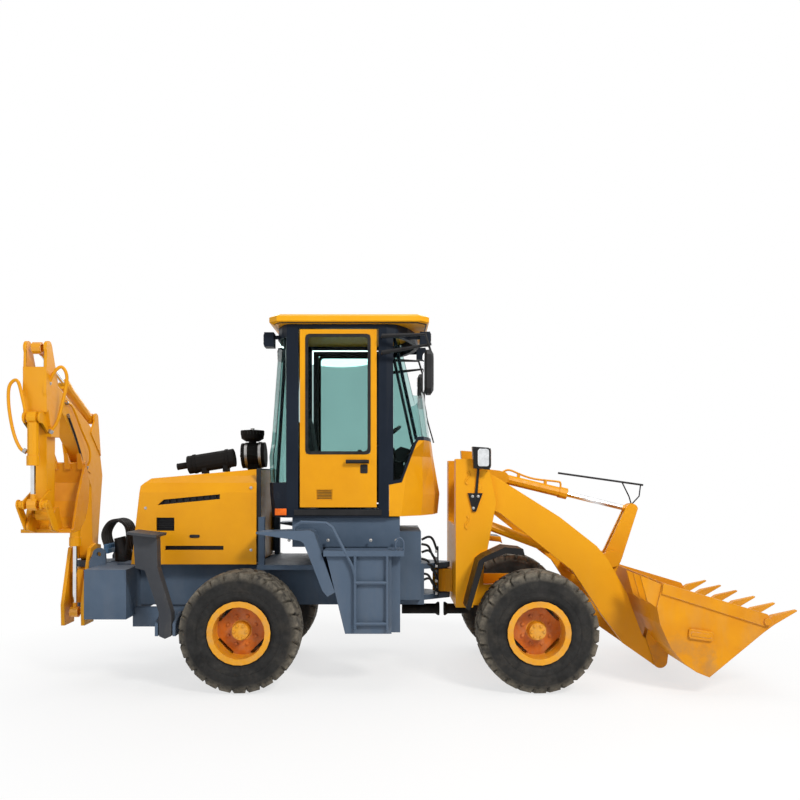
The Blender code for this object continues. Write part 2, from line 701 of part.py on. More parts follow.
def cab_frame():
    shell = combine(cab_hull(0.0, z1=CAB_Z1), [cab_hull(WALL, z0=CAB_Z0 + 0.04, z1=CAB_Z1 + 0.1)], "DIFFERENCE")
    doorway = block((DOOR_X0 - 0.014, DOOR_X1 + 0.014), (-0.8, 0.8), (DOOR_Z0 - 0.014, DOOR_Z1 + 0.014))
    nose_room = plate(nose_side(1.0, 0.0), -0.8, 0.8)
    shell = fuse([shell], [doorway, nose_room, *window_blocks(0.0)])
    corners = []
    for side in SIDES.values():
        corners.append(rod((0.226, side * 0.53, 2.02), (0.035, side * 0.535, 2.90), 0.014, 8))
        corners.append(rod((-0.935, side * 0.50, 1.60), (-0.855, side * 0.505, 2.90), 0.014, 8))
    lamps = []
    for side in SIDES.values():
        lamps.append(block((0.26, 0.345), (side * 0.42 - 0.06, side * 0.42 + 0.06), (2.815, 2.925)))
        lamps.append(block((0.10, 0.27), (side * 0.42 - 0.012, side * 0.42 + 0.012), (2.87, 2.90)))
        lamps.append(block((-1.045, -0.965), (side * 0.42 - 0.06, side * 0.42 + 0.06), (2.80, 2.92)))
        lamps.append(block((-0.975, -0.90), (side * 0.42 - 0.012, side * 0.42 + 0.012), (2.87, 2.90)))
    finish(fuse([shell, *corners, *lamps]), "cab_frame", "navy", "rear_frame")


def cab_glazing():
    for name, window in zip(("windscreen_glass", "rear_glass"), window_blocks(0.002)):
        pane = combine(cab_hull(0.008), [cab_hull(0.015, z0=1.30, z1=3.1)], "DIFFERENCE")
        finish(combine(pane, [window], "INTERSECT"), name, "glass", "rear_frame", smooth=30)


def cab_roof():
    x0, x1, y = -0.985, 0.33, 0.66
    rows = ((CAB_Z1 + GAP, 0.03), (CAB_Z1 + 0.015, 0.0), (CAB_Z1 + 0.055, 0.0), (CAB_Z1 + 0.075, 0.03))
    rings = []
    for z, inset in rows:
        r = 0.07
        xa, xb, yb = x0 + inset, x1 - inset, y - inset
        rings.append([
            (xa + r, -yb, z), (xb - r, -yb, z), (xb, -yb + r, z), (xb, yb - r, z),
            (xb - r, yb, z), (xa + r, yb, z), (xa, yb - r, z), (xa, -yb + r, z),
        ])
    finish(skin(rings), "cab_roof", "yellow", "rear_frame", smooth=40)


def cab_nose():
    outer = combine(cab_hull(0.0, z0=1.385), [plate(nose_side(1.2, 2 * GAP), -0.8, 0.8)], "INTERSECT")
    inner = cab_hull(WALL, z0=1.385 + 0.04)
    room = plate([(-0.2, 1.3), (0.8, 1.3), (0.8, 2.2), (-0.2, 2.2)], -0.8, 0.8)
    nose = combine(outer, [combine(inner, [room], "INTERSECT")], "DIFFERENCE")
    finish(nose, "cab_nose", "yellow", "rear_frame", smooth=30)


def door(side_name):
    side = SIDES[side_name]
    y_out, y_in = -CAB_Y - 0.010, -CAB_Y + 0.030
    leaf = block((DOOR_X0, DOOR_X1), (y_out, y_in), (DOOR_Z0, DOOR_Z1))
    opening = block((-0.681, -0.156), (y_out - 0.1, y_in + 0.1), (1.90, 2.877))
    handle = rod((-0.35, y_out - 0.03, 1.835), (-0.165, y_out - 0.03, 1.835), 0.014, 8)
    stubs = [
        block((x - 0.012, x + 0.012), (y_out - 0.03, y_out + 0.01), (1.825, 1.845)) for x in (-0.33, -0.18)
    ]
    vent = block((-0.595, -0.465), (y_out - 0.1, y_out + 0.008), (1.52, 1.605))
    leaf = fuse([leaf, handle, *stubs], [opening, vent])
    finish(mirrored(leaf, side), f"{side_name}_door", "yellow", f"{side_name}_door")
    pane = block((-0.681 + GAP, -0.156 - GAP), (-CAB_Y + 0.002, -CAB_Y + 0.008), (1.90 + GAP, 2.877 - GAP))
    finish(mirrored(pane, side), f"{side_name}_door_glass", "glass", f"{side_name}_door")


def seat():
    base = block((-0.62, -0.38), (-0.15, 0.15), (CAB_Z0 + 0.04 + GAP, 1.60))
    squab = block((-0.72, -0.28), (-0.24, 0.24), (1.595, 1.71))
    back = plate([(-0.76, 1.66), (-0.66, 1.66), (-0.74, 2.22), (-0.81, 2.22)], -0.22, 0.22)
    finish(fuse([base, squab, back]), "seat", "black", "rear_frame")


def console():
    floor = 1.385 + 0.04 + GAP
    column = plate([(0.03, floor), (0.16, floor), (0.12, 1.92), (0.04, 1.92)], -0.16, 0.16)
    dash = plate([(0.06, 1.84), (0.235, 1.84), (0.235, 1.93), (0.10, 1.97), (0.04, 1.93)], -0.30, 0.30)
    stalk = rod((0.07, 0, 1.90), (-0.045, 0, 2.05), 0.022, 8)
    spokes = rod((-0.045, -0.178, 2.05), (-0.045, 0.178, 2.05), 0.012, 6)
    ring = turned([(r, o) for r, o in circle((0.18, 0.0), 0.014, 5)], 16, (0, 0, 0), "Z")
    ring.data.transform(Matrix.Translation((-0.045, 0, 2.05)) @ Matrix.Rotation(math.radians(-37), 4, "Y"))
    finish(fuse([column, dash, stalk, spokes, ring]), "dash_and_wheel", "black", "rear_frame")


def mirror(side_name):
    side = SIDES[side_name]
    arms = [
        tube_path([(-0.055, -0.590, 2.855), (-0.055, -0.66, 2.855), (0.29, -0.74, 2.855)], 0.010, 6),
        tube_path([(-0.055, -0.590, 2.72), (-0.055, -0.66, 2.72), (0.34, -0.74, 2.775)], 0.010, 6),
        rod((0.29, -0.74, 2.865), (0.34, -0.74, 2.70), 0.010, 6),
    ]
    rings = []
    for x, inset in ((0.285, 0.02), (0.30, 0.0), (0.335, 0.0), (0.355, 0.03)):
        y0, y1, z0, z1 = -0.84 + inset, -0.66 - inset, 2.37 + inset, 2.72 - inset
        rings.append([
            (x, y0 + 0.03, z0), (x, y1 - 0.03, z0), (x, y1, z0 + 0.04), (x, y1, z1 - 0.04),
            (x, y1 - 0.03, z1), (x, y0 + 0.03, z1), (x, y0, z1 - 0.04), (x, y0, z0 + 0.04),
        ])
    glass = fuse([skin(rings), *arms])
    glass.data.transform(Matrix.Translation((0, -0.011, 0)))
    finish(mirrored(glass, side), f"{side_name}_mirror", "black", "rear_frame", smooth=40)


def stabilizer(side_name):
    side = SIDES[side_name]
    x, z = STAB_PIN
    leg = plate([
        (x - 0.05, z), (x - 0.046, z - 0.05), (x, z - 0.07), (x + 0.046, z - 0.05), (x + 0.05, z),
        (x + 0.05, z + 0.13), (x - 0.06, 0.99), (x - 0.065, 1.24), (x - 0.255, 1.265), (x - 0.235, 0.99),
        (x - 0.16, 0.97), (x - 0.05, z + 0.14),
    ], -STAB_Y - 0.05, -STAB_Y + 0.05)
    pad = skin([
        [(x - 0.275, y, 1.262), (x - 0.045, y, 1.236), (x - 0.04, y, 1.256), (x - 0.27, y, 1.282)]
        for y in (-STAB_Y - 0.15, -STAB_Y + 0.15)
    ])
    hole = rod((x - 0.2, -STAB_Y, z), (x + 0.2, -STAB_Y, z), STAB_PIN_R + 0.002, 10)
    finish(mirrored(fuse([leg, pad], [hole], "MANIFOLD"), side), f"{side_name}_stabilizer", "dark_grey",
           f"{side_name}_stabilizer")


hood()
engine()
muffler()
air_cleaner()
cab_frame()
cab_glazing()
cab_roof()
cab_nose()
seat()
console()
for side_name in SIDES:
    door(side_name)
    mirror(side_name)
    stabilizer(side_name)


# Front frame with its tower
def tower_outline():
    return [(TOWER_X0, FRONT_FLOOR_Z), (TOWER_X0, 1.86), (0.70, 1.86), (0.842, 1.748), (0.895, 1.492), (0.81, 1.04),
            (0.80, 0.80), (1.50, 0.80), (1.50, 0.66), (1.46, FRONT_FLOOR_Z)]


def front_frame():
    plates = []
    for side in SIDES.values():
        for y, outline in ((TOWER_Y, tower_outline()[:6] + [(0.70, FRONT_FLOOR_Z)]), (INNER_Y, tower_outline())):
            plates.append(plate(outline, side * (y - TOWER_T / 2), side * (y + TOWER_T / 2)))
    wall = block((TOWER_X0, TOWER_X0 + 0.025), (-TOWER_Y, TOWER_Y), (FRONT_FLOOR_Z, 1.30))
    flanges = [
        block((TOWER_X0, TOWER_X0 + 0.025), (side * TOWER_Y, side * (INNER_Y - 0.03)), (1.28, 1.85))
        for side in SIDES.values()
    ]
    floor = block((TOWER_X0, 1.48), (-INNER_Y, INNER_Y), (0.665, 0.69))
    end_wall = block((1.44, 1.47), (-INNER_Y, INNER_Y), (0.62, 0.78))
    tube = rod((0.74, -INNER_Y, 1.76), (0.74, INNER_Y, 1.76), 0.055, 14)
    ears = []
    for side in SIDES.values():
        y = side * TILT_EAR_Y
        ears.append(plate(
            [(0.70, 1.72), (0.70, 1.80), (0.98, 1.765)] + circle(TILT_BASE, 0.06, 8, 60, -150) + [(0.80, 1.66)],
            y - 0.0125, y + 0.0125))
    tilt_pin = rod(side_point(TILT_BASE, -TILT_EAR_Y), side_point(TILT_BASE, TILT_EAR_Y), PIN_R, PIN_SIDES)
    pins = []
    for side in SIDES.values():
        pins.append(rod(side_point(BOOM_PIN, side * INNER_Y), side_point(BOOM_PIN, side * (TOWER_Y + 0.02)), PIN_R, PIN_SIDES))
        pins.append(rod(side_point(LIFT_BASE, side * INNER_Y), side_point(LIFT_BASE, side * (LIFT_Y - 0.05)), PIN_R, PIN_SIDES))
    hitch = flat_plate([(TOWER_X0 + 0.01, 0.10), (TOWER_X0 + 0.01, -0.10)] + circle((PIVOT_X, 0), 0.08, 10, -70, -220),
                       HITCH_PLATES[0] + 0.035, HITCH_PLATES[1] - 0.035)
    bore = rod((PIVOT_X, 0, 0.5), (PIVOT_X, 0, 1.1), PIVOT_R + 0.003, 16)
    lamps = []
    for side in SIDES.values():
        face = TOWER_Y + TOWER_T / 2
        near, far = side * (face - 0.005), side * (face + 0.016)
        lamps.append(plate([(0.655, 1.575), (0.78, 1.575), (0.725, 1.42), (0.695, 1.42)], near, far))
        lamps.append(rod((0.72, side * (face + 0.008), 1.50), (0.745, side * (face + 0.008), 1.80), 0.014, 8))
        lamps.append(skin([
            [(0.70, y0, 1.78), (0.70, y1, 1.78), (0.69, y1, 1.96), (0.69, y0, 1.96)]
            if x == 0 else
            [(0.83, y0, 1.77), (0.83, y1, 1.77), (0.82, y1, 1.95), (0.82, y0, 1.95)]
            for x, y0, y1 in ((0, side * 0.482, side * 0.585), (1, side * 0.474, side * 0.595))
        ]))
    fenders = []
    for side in SIDES.values():
        strip = [(1.085, 1.07), (1.07, 1.085), (0.93, 1.10), (0.76, 1.03), (0.66, 0.68), (0.64, 0.64),
                 (0.615, 0.66), (0.645, 0.78), (0.715, 1.04), (0.76, 1.075), (0.925, 1.15), (1.07, 1.135)]
        fenders.append(plate(strip[::-1], side * (TOWER_Y + 0.01), side * 0.80))
    frame = fuse([plates[0], *plates[1:], wall, *flanges, floor, end_wall, tube, *ears, tilt_pin, *pins, hitch,
                  *lamps, *fenders], [bore], "MANIFOLD")
    finish(frame, "front_frame", "yellow", "front_frame")


# Loader arm, bell crank, link and bucket
def loader_boom():
    top_edge = [(0.834, 1.75), (1.433, 1.373), (1.743, 1.13), (1.835, 1.021), (1.994, 0.737), (2.125, 0.38)]
    low_edge = [(1.969, 0.309), (1.785, 0.552), (1.542, 0.921), (1.433, 1.005), (1.14, 1.24), (0.935, 1.402)]
    outline = circle(BOOM_PIN, 0.115, 8, 250, -185) + top_edge
    outline += circle(BUCKET_PIN, BOOM_END_R, 8, 35, -160) + low_edge
    arms, bosses, holes = [], [], []
    for side in SIDES.values():
        inner, outer = side * (BOOM_Y - BOOM_T / 2), side * (BOOM_Y + BOOM_T / 2)
        arms.append(plate(outline, inner, outer))
        bosses.append(rod(side_point(LIFT_END, side * BOOM_Y), side_point(LIFT_END, side * (LIFT_Y + 0.036)), 0.05, 14))
        for centre in (BOOM_PIN, BUCKET_PIN):
            holes.append(rod(side_point(centre, inner - side * 0.1), side_point(centre, outer + side * 0.1),
                             PIN_R + PIN_CLEAR, PIN_SIDES))
    tube = rod(side_point(CROSS_TUBE, -BOOM_Y), side_point(CROSS_TUBE, BOOM_Y), 0.075, 16)
    carriers = []
    for side in SIDES.values():
        y = side * CARRIER_Y
        outline = circle(CRANK_PIN, 0.075, 8, 110, -200)
        outline += circle(CROSS_TUBE, 0.08, 6, -60, -120)
        carriers.append(plate(outline, y - 0.0125, y + 0.0125))
    pin = rod(side_point(CRANK_PIN, -CARRIER_Y), side_point(CRANK_PIN, CARRIER_Y), PIN_R, PIN_SIDES)
    boom = fuse([arms[0], tube, arms[1], *bosses, *carriers, pin], holes, "MANIFOLD")
    finish(boom, "loader_boom", "yellow", "loader_boom")


def bellcrank():
    plates = []
    for side in SIDES.values():
        y0, y1 = side * 0.026, side * 0.050
        outline = circle(CRANK_TOP, 0.055, 6, 160, -150)
        outline += [(CRANK_PIN[0] + 0.09, CRANK_PIN[1])]
        outline += circle(CRANK_LOW, 0.05, 6, -10, -170)
        outline += [(CRANK_PIN[0] - 0.085, CRANK_PIN[1])]
        plates.append(plate(outline, y0, y1))
    hub = rod(side_point(CRANK_PIN, -0.05), side_point(CRANK_PIN, 0.05), 0.07, 16)
    low_pin = rod(side_point(CRANK_LOW, -0.04), side_point(CRANK_LOW, 0.04), PIN_R * 0.8, PIN_SIDES)
    bore = rod(side_point(CRANK_PIN, -0.1), side_point(CRANK_PIN, 0.1), PIN_R + PIN_CLEAR, PIN_SIDES)
    finish(fuse([hub, *plates, low_pin], [bore], "MANIFOLD"), "bellcrank", "yellow", "bellcrank")


def bucket_link():
    start, end = side_point(CRANK_LOW), side_point(LINK_PIN)
    bar = fuse([
        rod(side_point(CRANK_LOW, -0.021), side_point(CRANK_LOW, 0.021), 0.045, 10),
        rod(side_point(LINK_PIN, -0.021), side_point(LINK_PIN, 0.021), 0.04, 10),
        rod(start, end, 0.02, 8),
    ], [
        rod(side_point(CRANK_LOW, -0.1), side_point(CRANK_LOW, 0.1), PIN_R * 0.8 + PIN_CLEAR, PIN_SIDES),
        rod(side_point(LINK_PIN, -0.1), side_point(LINK_PIN, 0.1), PIN_R * 0.8 + PIN_CLEAR, PIN_SIDES),
    ])
    finish(bar, "bucket_link", "yellow", "bucket_link")


def loader_bucket():
    half = BUCKET_W / 2
    outer = [(2.137, 0.883), (2.09, 0.695), (2.115, 0.56), (2.20, 0.37), (2.30, 0.255), (2.40, 0.185),
             (2.50, 0.145), (2.935, 0.505)]
    inner = [(2.915, 0.515), (2.50, 0.172), (2.41, 0.207), (2.315, 0.275), (2.222, 0.38), (2.14, 0.56),
             (2.115, 0.695), (2.16, 0.876)]
    shell = plate(outer + inner, -half, half)
    side_plate = outer[:-1] + [(2.955, 0.525), (2.985, 0.585), (2.948, 0.64)]
    parts = [shell]
    for side in SIDES.values():
        parts.append(plate(side_plate, side * (half - 0.025), side * (half + 0.0)))
        # the thicker band along the side plate's top, and the cutter at its front
        parts.append(plate([(2.137, 0.883), (2.125, 0.80), (2.93, 0.545), (2.985, 0.585), (2.948, 0.64)],
                           side * (half - 0.01), side * (half + 0.015)))
        parts.append(rod((2.945, side * (half - 0.02), 0.585), (2.945, side * (half + 0.03), 0.585), 0.03, 12))
    parts.append(block((2.84, 2.96), (-half + 0.01, half - 0.01), (0.0, 0.03)))
    lip = parts[-1]
    lip.data.transform(Matrix.Translation((2.86, 0, 0.45)) @ Matrix.Rotation(math.radians(-39.6), 4, "Y")
                       @ Matrix.Translation((-2.84, 0, -0.0)))
    slope = math.radians(24)
    for k in range(TEETH):
        y = -half + 0.035 + k * (BUCKET_W - 0.07) / (TEETH - 1)
        tooth = skin([
            [(2.90, y - 0.03, 0.475), (2.90, y + 0.03, 0.475), (2.89, y + 0.03, 0.55), (2.89, y - 0.03, 0.55)],
            [(3.01, y - 0.028, 0.555), (3.01, y + 0.028, 0.555), (3.00, y + 0.028, 0.625), (3.00, y - 0.028, 0.625)],
            [(3.19, y - 0.02, 0.658), (3.19, y + 0.02, 0.658), (3.19, y + 0.02, 0.668), (3.19, y - 0.02, 0.668)],
        ])
        parts.append(tooth)
    # rear cross box with its ribs
    parts.append(plate([(2.10, 0.70), (2.137, 0.883), (2.16, 0.876), (2.125, 0.70)], -half, half))
    for y in (-0.905, -0.72, -0.54, 0.54, 0.72, 0.905):
        parts.append(plate([(2.13, 0.87), (1.965, 0.94), (2.02, 0.74), (2.10, 0.68)], y - 0.01, y + 0.01))
    # ears with their pins for the two arms and the link
    for side in SIDES.values():
        for y in (BOOM_Y - BOOM_T / 2 - 0.013, BOOM_Y + BOOM_T / 2 + 0.013):
            outline = circle(BUCKET_PIN, 0.06, 8, 225, 120) + [(2.34, 0.26), (2.22, 0.37), (2.17, 0.44), (2.15, 0.36)]
            parts.append(plate(outline, side * (y - 0.006), side * (y + 0.006)))
        parts.append(rod(side_point(BUCKET_PIN, side * (BOOM_Y - BOOM_T / 2 - 0.015)),
                         side_point(BUCKET_PIN, side * (BOOM_Y + BOOM_T / 2 + 0.015)), PIN_R, PIN_SIDES))
        outline = circle(LINK_PIN, 0.05, 6, 110, 140) + [(2.17, 0.42), (2.22, 0.40), (2.13, 0.58)]
        parts.append(plate(outline, side * 0.031, side * 0.051))
    finish(fuse(parts, (), "MANIFOLD"), "loader_bucket", "yellow", "loader_bucket")


# Hydraulic rams
def ram(name, base, eye, across, barrel_body, rod_body, barrel_r, rod_r, barrel_len, rod_len, eye_w):
    """A barrel with an eye on its base pin, and a rod that slides out of it with an eye at its end."""
    base, eye = Vector(base), Vector(eye)
    along = (eye - base).normalized()
    across = Vector(across)
    gland = base + along * barrel_len
    barrel = rod(base + along * (barrel_r * 0.9), gland, barrel_r, 10)
    collar = rod(gland - along * 0.07, gland + along * 0.004, barrel_r * 1.15, 10)
    eye_r = max(PIN_R + 0.018, barrel_r)
    base_eye = rod(base - across * eye_w, base + across * eye_w, eye_r, 12)
    bore = rod(base + along * (eye_r + 0.02), gland + along * 0.05, rod_r + 0.001, 8)
    base_hole = rod(base - across * 0.2, base + across * 0.2, PIN_R + PIN_CLEAR, PIN_SIDES)
    finish(fuse([barrel, collar, base_eye], [bore, base_hole], "MANIFOLD"), f"{name}_barrel", "yellow", barrel_body, smooth=35)
    shaft = rod(eye - along * rod_len, eye - along * 0.02, rod_r, 8)
    rod_eye = rod(eye - across * eye_w, eye + across * eye_w, PIN_R + 0.016, 10)
    hole = rod(eye - across * 0.2, eye + across * 0.2, PIN_R + PIN_CLEAR, PIN_SIDES)
    finish(fuse([rod_eye, shaft], [hole]), f"{name}_rod", "steel", rod_body, smooth=35)


# Backhoe
def swing_post():
    z_low, z_high = SWING_LUGS[0][1] + PIN_SIDE, SWING_LUGS[1][0] - PIN_SIDE
    barrel = rod((SWING_X, 0, z_low), (SWING_X, 0, z_high), 0.085, 16)
    web = block((ARM_X - 0.045, ARM_X + 0.045), (-0.22, -0.02), (z_low + 0.01, z_high - 0.01))
    cheeks = [block((ARM_X - HOE_CHEEK, ARM_X + HOE_CHEEK), (-0.19, -0.14), (z_low + 0.03, z_high - 0.03))]
    for side in SIDES.values():
        x = ARM_X + side * HOE_CHEEK
        cheeks.append(cross_plate(
            [(-0.13, 0.44), (-0.34, 0.44), (-0.35, 0.62), (-0.19, 1.09), (-0.06, 1.12), (0.05, 1.10),
             (0.07, 1.00), (0.0, 0.975), (-0.11, 0.99), (-0.13, 0.97)],
            x - 0.015, x + 0.015))
    pins = [
        rod(arm_point(*HOE_FOOT, -HOE_CHEEK), arm_point(*HOE_FOOT, HOE_CHEEK), PIN_R, PIN_SIDES),
    ]
    finish(fuse([barrel, web, *cheeks, *pins], (), "MANIFOLD"), "swing_post", "orange", "swing_post")


def in_arm(outline):
    """An outline of (u, z) points as the (y, z) points of a cross plate."""
    return [(-u, z) for u, z in outline]


def hoe_boom():
    outline = circle(HOE_FOOT, 0.055, 6, 200, 150)
    outline += [(0.06, 1.30), (0.07, 1.62), (0.30, 1.90), (0.83, 2.33)]
    outline += circle(HOE_ELBOW, 0.075, 6, -40, 150)
    outline += [(0.20, 2.20), (0.02, 2.12), (-0.14, 1.92), (-0.20, 1.72), (-0.12, 1.30)]
    box = cross_plate(in_arm(outline), ARM_X - HOE_HALF, ARM_X + HOE_HALF)
    lugs, pins, holes = [], [], []
    for side in SIDES.values():
        x = ARM_X + side * HOE_LUG_X
        x0, x1 = x - HOE_LUG_T / 2, x + HOE_LUG_T / 2
        base = HOE_RAMS["dipper_ram"][1]
        lugs.append(cross_plate(in_arm([(-0.14, 1.90), (0.10, 2.10)] + circle(base, 0.05, 6, -30, 180)), x0, x1))
        top = HOE_RAMS["hoe_boom_ram"][1]
        lugs.append(cross_plate(in_arm([(0.10, 1.74), (0.40, 1.99)] + circle(top, 0.05, 6, 10, -180)), x0, x1))
    for name in ("dipper_ram", "hoe_boom_ram"):
        base = HOE_RAMS[name][1]
        pins.append(rod(arm_point(*base, -HOE_LUG_X), arm_point(*base, HOE_LUG_X), PIN_R, PIN_SIDES))
    holes.append(rod(arm_point(*HOE_FOOT, -0.3), arm_point(*HOE_FOOT, 0.3), PIN_R + PIN_CLEAR, PIN_SIDES))
    holes.append(rod(arm_point(*HOE_ELBOW, -0.3), arm_point(*HOE_ELBOW, 0.3), PIN_R + PIN_CLEAR, PIN_SIDES))
    finish(fuse([box, *lugs, *pins], holes, "MANIFOLD"), "backhoe_boom", "yellow", "hoe_boom")


def dipper():
    stick = [(0.99, 2.14), (0.985, 1.50)] + circle(DIPPER_END, 0.052, 8, 20, -200) + [(0.845, 1.50), (0.83, 2.12)]
    stick_box = cross_plate(in_arm(stick), ARM_X - 0.055, ARM_X + 0.055)
    cheeks = []
    for side in SIDES.values():
        x = ARM_X + side * (HOE_HALF + 0.018)
        outline = [(0.83, 2.10), (0.84, 2.30), (0.86, 2.45)] + circle(DIPPER_TOP, 0.055, 8, 170, -210)
        outline += [(1.08, 2.35), (1.0, 2.10)]
        cheeks.append(cross_plate(in_arm(outline), x - 0.012, x + 0.012))
    bridge = cross_plate(in_arm([(0.835, 2.02), (0.835, 2.18), (0.99, 2.18), (0.99, 2.02)]),
                         ARM_X - HOE_HALF - 0.03, ARM_X + HOE_HALF + 0.03)
    back = cross_plate(in_arm([(1.03, 2.24), (1.05, 2.55), (1.075, 2.55), (1.07, 2.20)]),
                       ARM_X - HOE_HALF - 0.03, ARM_X + HOE_HALF + 0.03)
    lugs = []
    for side in SIDES.values():
        x = ARM_X + side * HOE_LUG_X
        x0, x1 = x - HOE_LUG_T / 2, x + HOE_LUG_T / 2
        base = HOE_RAMS["hoe_bucket_ram"][1]
        lugs.append(cross_plate(in_arm([(0.95, 2.02), (0.95, 2.24)] + circle(base, 0.045, 6, 100, -200)), x0, x1))
    pins = [
        rod(arm_point(*HOE_ELBOW, -HOE_HALF - 0.02), arm_point(*HOE_ELBOW, HOE_HALF + 0.02), PIN_R, PIN_SIDES),
        rod(arm_point(*HOE_RAMS["hoe_bucket_ram"][1], -HOE_LUG_X), arm_point(*HOE_RAMS["hoe_bucket_ram"][1], HOE_LUG_X),
            PIN_R, PIN_SIDES),
    ]
    holes = [arm_bore(DIPPER_END), arm_bore(GUIDE_PIN)]
    piece = fuse([stick_box, bridge, *cheeks, back, *lugs, *pins], holes, "MANIFOLD")
    finish(piece, "backhoe_dipper", "yellow", "dipper")


def link_outline(start, end, radius):
    """A bar with round ends between two (u, z) points."""
    heading = math.degrees(math.atan2(end[1] - start[1], end[0] - start[0]))
    return circle(start, radius, 6, heading + 90, 180) + circle(end, radius, 6, heading - 90, 180)


def link_bar(start, end, x):
    """A link's flat bar between two (u, z) points, at x from the arm's middle."""
    return cross_plate(in_arm(link_outline(start, end, 0.038)),
                       ARM_X + x - HOE_LINK_T / 2, ARM_X + x + HOE_LINK_T / 2)


def arm_bore(place):
    return rod(arm_point(*place, -0.3), arm_point(*place, 0.3), PIN_R + PIN_CLEAR, PIN_SIDES)


def bucket_linkage():
    """The guide hangs on the dipper and carries the links' pins, with the ram's open eye between its bars."""
    knee = HOE_RAMS["hoe_bucket_ram"][2]
    parts = [rod(arm_point(*GUIDE_PIN, -HOE_GUIDE_X), arm_point(*GUIDE_PIN, HOE_GUIDE_X), PIN_R, PIN_SIDES)]
    for side in SIDES.values():
        parts.append(link_bar(GUIDE_PIN, knee, side * HOE_GUIDE_X))
        parts.append(rod(arm_point(*knee, side * HOE_GUIDE_X), arm_point(*knee, side * (HOE_LINK_X + 0.01)),
                         PIN_R, PIN_SIDES))
    finish(fuse(parts, (), "MANIFOLD"), "backhoe_guide_link", "yellow", "hoe_guide")
    for side_name, side in SIDES.items():
        bar = link_bar(knee, HOE_LINK_PIN, side * HOE_LINK_X)
        finish(fuse([bar], [arm_bore(knee)], "MANIFOLD"), f"{side_name}_bucket_link", "yellow", "hoe_link")


def hoe_bucket():
    outer = [(0.87, 1.268), (0.70, 1.278), (0.58, 1.36), (0.51, 1.50), (0.495, 1.66), (0.565, 1.83)]
    inner = [(0.59, 1.82), (0.52, 1.66), (0.535, 1.51), (0.60, 1.382), (0.71, 1.305), (0.84, 1.295), (0.87, 1.297)]
    half = HOE_BUCKET_W / 2
    shell = cross_plate(in_arm(outer + inner), ARM_X - half, ARM_X + half)
    parts = [shell]
    side_plate = [(0.83, 1.276)] + outer[1:] + [(0.61, 1.75), (0.72, 1.56), (0.80, 1.36)]
    for side in SIDES.values():
        x = ARM_X + side * half
        parts.append(cross_plate(in_arm(side_plate), x - side * 0.02, x))
        ear = circle(DIPPER_END, 0.055, 6, 200, -170) + circle(HOE_LINK_PIN, 0.038, 6, 40, -130)
        ear += [(0.86, 1.27), (0.80, 1.275), (0.80, 1.33)]
        x = ARM_X + side * HOE_EAR_X
        parts.append(cross_plate(in_arm(ear), x - 0.010, x + 0.010))
    parts.append(rod(arm_point(*DIPPER_END, -HOE_EAR_X), arm_point(*DIPPER_END, HOE_EAR_X), PIN_R, PIN_SIDES))
    for k in range(HOE_TEETH):
        x = ARM_X - half + 0.04 + k * (HOE_BUCKET_W - 0.08) / (HOE_TEETH - 1)
        root, tip = HOE_TOOTH_ROOT, HOE_TOOTH_TIP
        parts.append(skin([
            [(x - 0.025, -root[0] + 0.024, root[1]), (x + 0.025, -root[0] + 0.024, root[1]),
             (x + 0.025, -root[0] - 0.034, root[1]), (x - 0.025, -root[0] - 0.034, root[1])],
            [(x - 0.015, -tip[0] + 0.005, tip[1]), (x + 0.015, -tip[0] + 0.005, tip[1]),
             (x + 0.015, -tip[0] - 0.005, tip[1]), (x - 0.015, -tip[0] - 0.005, tip[1])],
        ]))
    finish(fuse(parts, (), "MANIFOLD"), "backhoe_bucket", "yellow", "hoe_bucket")


front_frame()
loader_boom()
bellcrank()
bucket_link()
loader_bucket()
for side_name, side in SIDES.items():
    ram(f"{side_name}_lift", side_point(LIFT_BASE, side * LIFT_Y), side_point(LIFT_END, side * LIFT_Y),
        (0, 1, 0), f"{side_name}_lift_barrel", f"{side_name}_lift_rod", 0.04, 0.024, 0.585, 0.595, 0.03)
ram("tilt", side_point(TILT_BASE), side_point(CRANK_TOP), (0, 1, 0), "tilt_barrel", "tilt_rod", 0.045, 0.024, 0.60, 0.67, 0.021)
swing_post()
hoe_boom()
dipper()
hoe_bucket()
bucket_linkage()
for name, (carrier, base, eye) in HOE_RAMS.items():
    barrel_len, rod_len, barrel_r = HOE_RAM_SIZES[name]
    ram(name, arm_point(*base), arm_point(*eye), (1, 0, 0), f"{name}_barrel", f"{name}_rod", barrel_r, 0.02,
        barrel_len, rod_len, 0.034)


# The whole machine centred on its outline, its lowest point at zero
bpy.context.view_layer.update()
graph = bpy.context.evaluated_depsgraph_get()
corners = [
    piece.matrix_world @ vertex.co
    for piece in bpy.context.scene.objects if piece.type == "MESH"
    for vertex in piece.evaluated_get(graph).data.vertices
]
low = [min(corner[k] for corner in corners) for k in range(3)]
high = [max(corner[k] for corner in corners) for k in range(3)]
bodies["rear_frame"].location = (-(low[0] + high[0]) / 2, -(low[1] + high[1]) / 2, -low[2])
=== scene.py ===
"""Looks of an articulated backhoe loader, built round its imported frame.

Sizes are in metres. Places are given in the machine's own frame, whose origin lies on the ground
midway between the axles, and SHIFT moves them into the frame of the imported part.
"""

import json
import math

import bmesh
import bpy
from mathutils import Matrix, Vector


